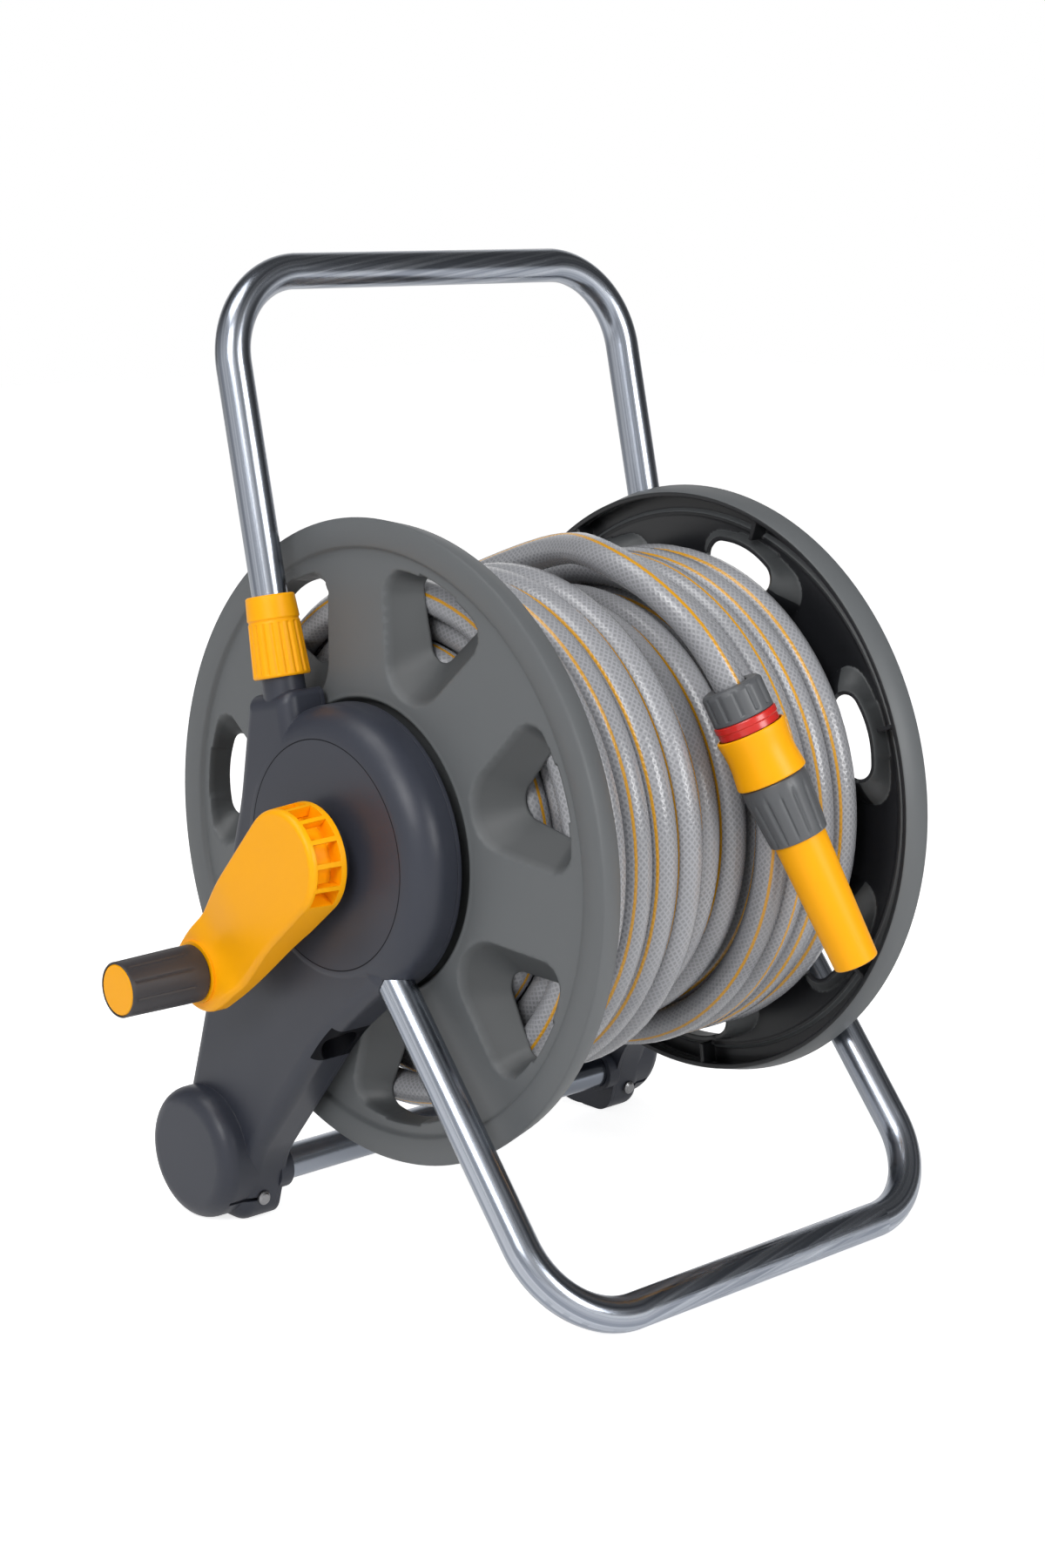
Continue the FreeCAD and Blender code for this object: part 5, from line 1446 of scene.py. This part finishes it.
@dataclass
class SidePanels:
    """The two moulded side panels with their covers, bushes, collars and screws."""

    collar_s: float = 93.6
    collar_length: float = 42.9
    collar_band: float = 0.68
    collar_r: float = 15.2
    collar_tip_r: float = 13.0
    collar_bore: float = 11.7
    collar_top_bore: float = 9.9
    collar_ribs: int = 18

    def collar(self, bench: Bench, side: Side) -> None:
        """Make one ribbed collar with its smooth top ring.

        Args:
            bench: The bench.
            side: The collar's side.
        """
        foot = HANDLE_PLANE.at(self.collar_s, side.value * LEG_X)
        length, low, top = self.collar_length, self.collar_r, self.collar_tip_r
        band = length * self.collar_band
        slope = (low - top) / length

        def wall(t: float) -> float:
            """Outer radius at t."""
            return low - slope * t

        bore, top_bore, at_band = self.collar_bore, self.collar_top_bore, wall(band)
        profile = [(0.0, bore), (24.0, bore), (length - 3.0, top_bore + 1.2), (length - 2.6, top_bore),
                   (length, top_bore), (length, top - 0.9), (length - 0.9, top), (band + 1.4, at_band + 0.1),
                   (band + 0.9, at_band - 0.5), (band, at_band - 0.5), (band - 0.6, at_band),
                   (band - 1.6, at_band), (2.2, wall(2.2)), (1.2, wall(1.2)), (0.5, low - 0.3),
                   (0.0, low - 0.9)]
        mesh = lathe(profile, foot, HANDLE_PLANE.up, self.collar_ribs * 8)
        Flutes(self.collar_ribs, 0.9, 1.5, band - 0.9, low - 3.2).cut(mesh, foot, HANDLE_PLANE.up)
        name = "collar_" + side.name.lower()
        bench.place(mesh, name + "_ring", name, bench.finishes.yellow, edge=0.25, smooth=50.0)

    def build(self, bench: Bench) -> None:
        """Make both sides.

        Args:
            bench: The bench.
        """
        finishes = bench.finishes
        for side in Side:
            label = side.name.lower()
            bench.skin("side_panel_" + label, finishes.panel)
            bench.skin("back_cover_" + label, finishes.panel)
            self.collar(bench, side)
            bench.dress("clamp_sleeve_" + label, finishes.black)
            bench.dress("bearing_bush_" + label, finishes.black)
        for node in ("cover_screws", "leg_screws", "foot_screws"):
            bench.dress(node, finishes.screw)


@dataclass
class WaterInlet:
    """Fixed inlet with its nipple and seal."""

    def build(self, bench: Bench) -> None:
        """Dress the inlet."""
        bench.skin("inlet_connector", bench.finishes.grey)
        bench.dress("inlet_seal", bench.finishes.rubber)


@dataclass(frozen=True)
class WindowOutline:
    """Outline of a flange's window as the hull of three rounds and a flat crown.

    The apex is a distance from the axle and a radius, each corner a distance, an offset sideways and a
    radius, and the crown its centre's distance, its radius and half its angle.
    """

    apex: tuple[float, float]
    corner: Triple
    crown: Triple

    def edges(self, steps: int = 40) -> Outline:
        """Sides of the outline.

        Args:
            steps: Points on each round.

        Returns:
            For each side its outward direction and its reach from the axle.
        """
        apex_at, apex_r = self.apex
        corner_at, corner_off, corner_r = self.corner
        crown_at, crown_r, crown_turn = self.crown
        points = []
        for step in range(steps):
            turn = 2 * math.pi * step / steps
            across, up = math.cos(turn), math.sin(turn)
            points.append((apex_at + apex_r * across, apex_r * up))
            for sign in (-1, 1):
                points.append((corner_at + corner_r * across, sign * corner_off + corner_r * up))
        for step in range(-4, 5):
            turn = math.radians(crown_turn) * step / 4
            points.append((crown_at + crown_r * math.cos(turn), crown_r * math.sin(turn)))
        loop = [points[index] for index in convex_hull_2d(points)]
        sides = []
        for (x0, y0), (x1, y1) in zip(loop, loop[1:] + loop[:1]):
            length = math.hypot(x1 - x0, y1 - y0)
            nx, ny = (y1 - y0) / length, -(x1 - x0) / length
            sides.append((nx, ny, nx * x0 + ny * y0))
        if sides[0][0] * apex_at > sides[0][2]:
            sides = [(-nx, -ny, -reach) for nx, ny, reach in sides]
        return sides


@dataclass
class Flange:
    """One flange of the drum: hub, dished web with seven soft windows, rim and spigot.

    Vertices that lie nearer to an outline of a window than hole_reach or mouth_reach are moved onto it.
    """

    side: Side
    hub_x: float = 118.15
    crest_x: float = 124.5
    rim_x: float = 120.6
    rim_back_x: float = 106.0
    floor_x: float = 105.0
    wall: float = 2.5
    bore_r: float = 11.1
    hub_r: float = 75.0
    web_r0: float = 78.2
    web_r1: float = 154.0
    crest_r: float = 78.0
    web_fall: float = 6.5 / 76.0
    outer_r: float = 170.0
    windows: int = 7
    first_window: float = 57.5
    cells_round: int = 82
    cells_out: int = 62
    mouth: WindowOutline = WindowOutline((107.5, 23.5), (131.8, 24.2, 13.0), (48.1, 100.0, 14.0))
    hole: WindowOutline = WindowOutline((114.5, 9.5), (136.7, 14.7, 8.5), (97.8, 50.0, 17.0))
    press_curve: float = 0.85
    hole_reach: float = 4.0
    hole_rounds: int = 3
    mouth_reach: float = 0.6
    lean_step: float = 0.05
    least_lean: float = 0.3
    weld: float = 0.02
    turned_steps: int = 168
    rib_half: float = 1.1
    rib_top_r: float = 165.5

    def web_x(self, radius: float) -> float:
        """Height of the web's outer surface."""
        return self.crest_x - (radius - self.crest_r) * self.web_fall

    @staticmethod
    def depth_in(sides: Outline, y: float, z: float) -> float:
        """Signed distance to an outline, below 0 inside."""
        return max(ny * y + nz * z - reach for ny, nz, reach in sides)

    def lean(self, sides: Outline, place: Vector) -> tuple[float, float]:
        """How fast the distance to an outline grows with y and with z at a place.

        Args:
            sides: The outline's sides.
            place: The place.

        Returns:
            The two slopes.
        """
        here, step = self.depth_in(sides, place.y, place.z), self.lean_step
        by_y = (self.depth_in(sides, place.y + step, place.z) - here) / step
        by_z = (self.depth_in(sides, place.y, place.z + step) - here) / step
        return by_y, by_z

    def window_turns(self) -> list[Matrix]:
        """Turn about the axle of each window."""
        step = 360.0 / self.windows
        return [Matrix.Rotation(math.radians(self.first_window + index * step), 4, "X")
                for index in range(self.windows)]

    def sector(self) -> bmesh.types.BMesh:
        """One seventh of the web's outer surface, with its window cut out and pressed in.

        Returns:
            The sector, open at its window and its sides.
        """
        hole, mouth = self.hole.edges(), self.mouth.edges()
        mesh = bmesh.new()
        bmesh.ops.create_grid(mesh, x_segments=self.cells_round, y_segments=self.cells_out, size=1.0)
        half, span = math.pi / self.windows, self.web_r1 - self.web_r0
        for vert in mesh.verts:
            turn, radius = vert.co.x * half, self.web_r0 + (vert.co.y + 1.0) / 2.0 * span
            vert.co = Vector((0.0, radius * math.cos(turn), radius * math.sin(turn)))
        gone = [vert for vert in mesh.verts if self.depth_in(hole, vert.co.y, vert.co.z) < 0.0]
        bmesh.ops.delete(mesh, geom=gone, context="VERTS")
        for _ in range(self.hole_rounds):
            self.fit_hole(mesh, hole)
        self.crease(mesh, mouth)
        self.press_in(mesh, hole, mouth)
        return mesh

    def fit_hole(self, mesh: bmesh.types.BMesh, hole: Outline) -> None:
        """Move the open edge's vertices onto the hole's outline.

        Args:
            mesh: The sector, flat.
            hole: The hole's sides.
        """
        for vert in mesh.verts:
            away = self.depth_in(hole, vert.co.y, vert.co.z)
            if vert.is_boundary and abs(away) < self.hole_reach:
                by_y, by_z = self.lean(hole, vert.co)
                size = max(math.hypot(by_y, by_z), self.least_lean) ** 2
                vert.co -= Vector((0.0, by_y, by_z)) * (away / size)

    def crease(self, mesh: bmesh.types.BMesh, mouth: Outline) -> None:
        """Move the vertices beside the mouth's outline onto it, so that its edge is crisp.

        Args:
            mesh: The sector, flat.
            mouth: The mouth's sides.
        """
        for vert in mesh.verts:
            away = self.depth_in(mouth, vert.co.y, vert.co.z)
            if abs(away) < self.mouth_reach and not vert.is_boundary:
                vert.co -= Vector((0.0, *self.lean(mouth, vert.co))) * away

    def press_in(self, mesh: bmesh.types.BMesh, hole: Outline, mouth: Outline) -> None:
        """Raise a flat sector to the web's height and press its window in.

        Args:
            mesh: The sector, flat.
            hole: The hole's sides.
            mouth: The mouth's sides.
        """
        for vert in mesh.verts:
            into = max(-self.depth_in(mouth, vert.co.y, vert.co.z), 0.0)
            away = max(self.depth_in(hole, vert.co.y, vert.co.z), 0.0)
            part = into / (into + away) if into else 0.0
            top = self.web_x(math.hypot(vert.co.y, vert.co.z))
            vert.co.x = top - (top - self.floor_x) * part ** self.press_curve

    def web(self) -> bmesh.types.BMesh:
        """The whole web with its thickness.

        Returns:
            The web, closed.
        """
        sectors = []
        for turn in self.window_turns():
            sector = self.sector()
            bmesh.ops.transform(sector, matrix=turn, verts=sector.verts)
            sectors.append(sector)
        mesh = joined(sectors)
        bmesh.ops.remove_doubles(mesh, verts=mesh.verts, dist=self.weld)
        bmesh.ops.recalc_face_normals(mesh, faces=mesh.faces)
        if sum(face.normal.x for face in mesh.faces) < 0:
            bmesh.ops.reverse_faces(mesh, faces=mesh.faces)
        bmesh.ops.solidify(mesh, geom=mesh.faces[:], thickness=self.wall)
        return mesh

    def turned_parts(self) -> list[bmesh.types.BMesh]:
        """Hub with its spigot, and the rim.

        Returns:
            The two closed meshes.
        """
        r0, r1, out = self.web_r0, self.web_r1, self.outer_r
        thick, floor, crest = self.wall, self.floor_x, self.crest_x
        face, back = self.rim_x, self.rim_back_x
        hub = [(self.hub_x, self.bore_r), (self.hub_x, self.hub_r), (crest - 0.5, r0 - 0.6),
               (crest - 0.12, r0 - 0.2), (crest - 0.05, r0 + 0.3), (crest - 1.0, r0 + 1.6),
               (self.web_x(r0 + 3) - thick, r0 + 3.3), (floor + 2.5, 87.9), (floor + 2.5, 89.8),
               (floor, 89.8), (floor, 86.9), (floor - 7.0, 86.9), (floor - 7.0, 84.4), (floor, 84.4),
               (self.hub_x - 3.0, 79.5), (self.hub_x - 3.0, self.bore_r)]
        rim = [(self.web_x(r1) - 0.1, r1 - 0.2), (self.web_x(r1) + 0.3, r1 + 0.3), (face - 0.4, r1 + 1.3),
               (face, r1 + 1.9), (face, out - 1.4), (face - 0.4, out - 0.4), (face - 1.4, out),
               (back + 0.5, out - 3.0), (back, out - 3.4), (back, out - 5.8), (back + 0.5, out - 6.0),
               (face - 3.0, out - 3.6), (face - 3.0, r1 + 3.0), (self.web_x(r1 + 1) - thick, r1 + 1.0),
               (self.web_x(r1) - thick, r1 - 0.6)]
        return [lathe(profile, Vector(), X_AXIS, self.turned_steps) for profile in (hub, rim)]

    def ribs(self) -> bmesh.types.BMesh:
        """Short ribs inside the rim, one behind each window.

        Returns:
            The ribs' mesh.
        """
        mesh = bmesh.new()
        low = Vector((self.rim_back_x + 0.6, self.web_r1 - 1.0, -self.rib_half))
        high = Vector((self.web_x(self.web_r1) - 0.6, self.rib_top_r, self.rib_half))
        block = Matrix.Translation((low + high) / 2) @ Matrix.Diagonal((*(high - low), 1.0))
        for turn in self.window_turns():
            bmesh.ops.create_cube(mesh, size=1.0, matrix=turn @ block)
        return mesh

    def build(self, bench: Bench) -> None:
        """Join the shells and place them.

        Args:
            bench: The bench.
        """
        whole = joined([self.web(), *self.turned_parts(), self.ribs()])
        if self.side is Side.LEFT:
            bmesh.ops.scale(whole, vec=(-1.0, 1.0, 1.0), verts=whole.verts)
            bmesh.ops.reverse_faces(whole, faces=whole.faces)
        node = "drum_flange_" + self.side.name.lower()
        bench.place(whole, node + "_dish", node, bench.finishes.flange, smooth=46.0)


@dataclass
class Drum:
    """Flanges, barrel, spindles and water elbow."""

    def build(self, bench: Bench) -> None:
        """Make the flanges and dress what is inside.

        Args:
            bench: The bench.
        """
        finishes = bench.finishes
        for side in Side:
            Flange(side).build(bench)
        bench.skin("drum_barrel", finishes.drum)
        for node in ("drive_spindle", "water_spindle", "hose_elbow", "elbow_nut"):
            bench.dress(node, finishes.black)
        for node in ("hub_screws", "barrel_screws"):
            bench.dress(node, finishes.screw)
        bench.dress("spindle_o_rings", finishes.rubber)


@dataclass
class Crank:
    """Crank arm with its turning grip.

    waist_at, swell_at and dish_at say where a hump starts, peaks and ends, as parts of the arm's reach.
    """

    tip_y: float = 71.7
    tip_z: float = -71.2
    grip_x0: float = 187.0
    grip_x1: float = 235.0
    grip_r: float = 15.4
    grip_tip_r: float = 14.8
    ribs: int = 20
    arm_x0: float = 163.5
    arm_t: float = 21.5
    draw_in: float = 0.05
    draw_to: float = 0.55
    waist: float = 0.05
    waist_at: Triple = (0.60, 0.83, 0.94)
    swell: float = 0.17
    swell_at: Triple = (0.30, 0.90, 1.30)
    dish: float = 2.4
    dish_at: Triple = (0.45, 0.76, 0.86)
    dish_front: float = 0.8
    spared_r: float = 12.5
    grip_room: float = 1.6
    cuts: int = 20
    first_cut: int = 6

    def grip(self, bench: Bench) -> None:
        """Make the ribbed grip and its cap.

        Args:
            bench: The bench.
        """
        origin, axis = Vector((0.0, self.tip_y, self.tip_z)), -X_AXIS
        x0, x1, r0, r1 = self.grip_x0, self.grip_x1, self.grip_r, self.grip_tip_r
        profile = [(x0, 4.05), (x1 - 8.4, 4.05), (x1 - 8.4, 7.0), (x1 - 4.0, 7.0), (x1 - 4.0, r1 - 1.1),
                   (x1, r1 - 1.1), (x1, r1 - 0.4), (x1 - 0.6, r1), (x1 - 2.4, r1), (x1 - 3.2, r1),
                   (x0 + 10.2, r0), (x0 + 8.4, r0), (x0 + 0.6, r0), (x0, r0 - 0.6)]
        mesh = lathe(profile, origin, axis, self.ribs * 8)
        Flutes(self.ribs // 2, 0.7, x0 + 9.0, x1 - 3.0, r1 - 1.5, 16.0).cut(mesh, origin, axis)
        bench.place(mesh, "grip_sleeve", "crank_grip", bench.finishes.grip, edge=0.2, smooth=50.0)
        profile = [(x1 - 3.9, 0.0), (x1, 0.0), (x1, r1 - 1.9), (x1 - 0.6, r1 - 1.2), (x1 - 3.9, r1 - 1.2)]
        cap = lathe(profile, origin, axis, 64)
        bench.place(cap, "grip_end_cap", "grip_cap", bench.finishes.yellow, edge=0.2)

    def arm(self, bench: Bench) -> None:
        """Make the arm.

        Its front plate draws in toward the hub and is dished, its upper side has a slight waist, and its
        lower side swells toward the grip.

        Args:
            bench: The bench.
        """
        mesh = bench.merged("crank_arm")
        reach = math.hypot(self.tip_y, self.tip_z)
        along = Vector((0.0, self.tip_y, self.tip_z)) / reach
        across = X_AXIS.cross(along)
        for step in range(self.first_cut, self.cuts + 1):
            bmesh.ops.bisect_plane(mesh, geom=mesh.verts[:] + mesh.edges[:] + mesh.faces[:],
                                   dist=bench.least_edge, plane_co=row(along * (reach * step / self.cuts)),
                                   plane_no=along)
        for vert in mesh.verts:
            local = (vert.co - AXLE) / MM
            out, aside = local.dot(along), local.dot(across)
            at_hub = math.hypot(out, aside) <= self.spared_r
            at_grip = math.hypot(out - reach, aside) <= self.grip_r + self.grip_room
            if at_hub or at_grip:
                continue
            front = min(max((-local.x - self.arm_x0) / self.arm_t, 0.0), 1.0)
            near_hub = 1.0 - min(max(out / (self.draw_to * reach), 0.0), 1.0)
            pull = self.draw_in * front * near_hub
            waist = self.waist * self.bump(out / reach, *self.waist_at)
            swell = self.swell * self.bump(out / reach, *self.swell_at)
            side = aside * (1.0 - pull) * (1.0 - waist if aside > 0.0 else 1.0 + swell)
            forward = out * (1.0 - pull) if out < 0 else out
            dish = self.dish * self.bump(out / reach, *self.dish_at) if front > self.dish_front else 0.0
            vert.co = row(along * forward + across * side + X_AXIS * (local.x + dish))
        bench.skin("crank_arm", bench.finishes.yellow, 40.0, mesh)

    @staticmethod
    def bump(place: float, low: float, middle: float, high: float) -> float:
        """Smooth hump: 0 up to low, 1 at the middle, 0 again from high."""
        part = (place - low) / (middle - low) if place < middle else (high - place) / (high - middle)
        return WoundHose.ease(part)

    def build(self, bench: Bench) -> None:
        """Make the crank.

        Args:
            bench: The bench.
        """
        self.arm(bench)
        self.grip(bench)
        for node in ("crank_pin", "grip_pin"):
            bench.dress(node, bench.finishes.screw)


@dataclass
class HoseEnd:
    """Connector and nozzle on the hose's end, all turned about one axis."""

    hose: WoundHose
    nut_r: float = 16.5
    nut: float = 17.3
    ring_r: float = 17.0
    ring: float = 7.7
    sleeve_r: float = 19.0
    sleeve: float = 28.0
    grip_r: float = 18.0
    grip: float = 33.6
    tube_r: float = 14.0
    tip_r: float = 12.0

    @property
    def sleeve_t(self) -> float:
        """Where the lock ring ends and the sleeve starts."""
        return self.nut + self.ring

    @property
    def grip_t(self) -> float:
        """Where the sleeve ends and the nozzle's grip starts."""
        return self.sleeve_t + self.sleeve

    @property
    def tube_t(self) -> float:
        """Where the nozzle's grip ends and its front starts."""
        return self.grip_t + self.grip

    def turned(self, profile: Profile, steps: int = 96) -> bmesh.types.BMesh:
        """Lathe about the fitting's axis."""
        return lathe(profile, Vector(self.hose.end_start), self.hose.axis(), steps)

    def fluted(self, profile: Profile, flutes: Flutes) -> bmesh.types.BMesh:
        """Lathe with grooves.

        Args:
            profile: Corners as (along, radius).
            flutes: The grooves.

        Returns:
            The mesh.
        """
        mesh = self.turned(profile, flutes.count * 8)
        flutes.cut(mesh, Vector(self.hose.end_start), self.hose.axis())
        return mesh

    def connector(self, bench: Bench) -> list[bpy.types.Object]:
        """Make the nut, the lock ring and the sleeve.

        Args:
            bench: The bench.

        Returns:
            The three pieces.
        """
        finishes = bench.finishes
        foot, rim = self.nut, self.nut_r
        profile = [(0, 9.0), (12, 9.0), (12, 13.1), (foot, 13.1), (foot, rim - 0.5), (foot - 0.5, rim),
                   (foot - 2.0, rim), (foot - 2.6, rim), (3.2, rim), (2.4, rim), (1.2, rim - 0.6),
                   (0, rim - 2.0)]
        nut = self.fluted(profile, Flutes(12, 1.1, 2.3, foot - 2.5, 15.0, 4.0))
        end, rim = self.sleeve_t - 0.1, self.ring_r
        middle = foot + self.ring * 0.45
        lock = self.turned([(foot + 0.1, 13.05), (end, 13.05), (end, rim - 0.5), (middle + 0.6, rim - 0.6),
                            (middle + 0.2, rim - 0.3), (middle, rim), (foot + 0.6, rim),
                            (foot + 0.1, rim - 0.5)])
        foot, end, rim = self.sleeve_t, self.grip_t - 0.4, self.sleeve_r
        sleeve = self.turned([(foot, 17.4), (foot + 5.5, 17.4), (foot + 6.5, 14.0), (end, 14.0),
                              (end, rim - 0.8), (end - 0.4, rim - 0.2), (end - 1.2, rim),
                              (end - 5.0, rim - 0.5), (end - 10.0, rim - 1.1), (end - 15.0, rim - 1.3),
                              (foot + 8.0, rim - 1.1), (foot + 4.0, rim - 0.5), (foot + 1.0, rim - 0.2),
                              (foot + 0.3, rim - 0.5), (foot, rim - 1.2)])
        return [bench.place(nut, "hose_nut", "connector_nut", finishes.grey, edge=0.25, smooth=50.0),
                bench.place(lock, "lock_ring", "connector_lock_ring", finishes.red, edge=0.2),
                bench.place(sleeve, "lock_sleeve", "connector_sleeve", finishes.yellow, edge=0.2)]

    def nozzle(self, bench: Bench) -> list[bpy.types.Object]:
        """Make the nozzle's grip and its front.

        Args:
            bench: The bench.

        Returns:
            The two pieces.
        """
        finishes = bench.finishes
        foot, end, rim = self.grip_t, self.tube_t, self.grip_r
        profile = [(foot, 8.7), (foot + 5.9, 8.7), (foot + 5.9, 12.3), (end - 12, 12.3), (end - 12, 14.5),
                   (end, 14.5), (end, rim - 2.9), (end - 0.8, rim - 2.3), (end - 3.4, rim - 2.0),
                   (end - 4.0, rim - 1.95), (foot + 9.0, rim - 0.3), (foot + 8.2, rim - 0.2),
                   (foot + 5.0, rim), (foot + 1.0, rim - 0.4), (foot, rim - 1.2)]
        hand = self.fluted(profile, Flutes(14, 1.0, foot + 8.1, end - 3.3, 15.0, 4.0))
        foot, rim = self.tube_t, self.tip_r
        end = (Vector(self.hose.end_tip) - Vector(self.hose.end_start)).length
        front = self.turned([(foot - 11, 8.1), (foot + 43, 8.1), (foot + 52, 3.0), (end - 5, 3.0),
                             (end - 5, 4.5), (end, 4.5), (end, rim - 1.0), (end - 0.4, rim - 0.3),
                             (end - 1.2, rim), (foot, self.tube_r), (foot - 11, self.tube_r)])
        return [bench.place(hand, "nozzle_hand_grip", "nozzle_grip", finishes.grey, edge=0.25, smooth=50.0),
                bench.place(front, "nozzle_front", "nozzle_tube", finishes.yellow, edge=0.25)]

    def build(self, bench: Bench) -> list[bpy.types.Object]:
        """Make the connector and the nozzle, and dress what is inside them.

        Args:
            bench: The bench.

        Returns:
            The pieces that go with the hose.
        """
        made = self.connector(bench) + self.nozzle(bench)
        inner = (("connector_core", bench.finishes.black), ("nozzle_stem", bench.finishes.black),
                 ("nozzle_seal", bench.finishes.rubber))
        for node, finish in inner:
            bench.dress(node, finish)
            made.append(bench.frame["nodes"][node])
        return made


def main() -> None:
    """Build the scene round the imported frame."""
    logging.basicConfig(level=logging.INFO, format="%(name)s: %(message)s")
    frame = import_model()
    studio = Studio()
    studio.camera()
    bench = Bench(frame, Finishes())
    hose = WoundHose()
    wound = hose.build(bench)
    HoseEnd(hose).build(bench)
    for assembly in (TubeFrame(), SidePanels(), WaterInlet(), Drum(), Crank()):
        assembly.build(bench)
        log.info("%s is made", type(assembly).__name__)
    studio.build()


if __name__ == "__main__":
    main()
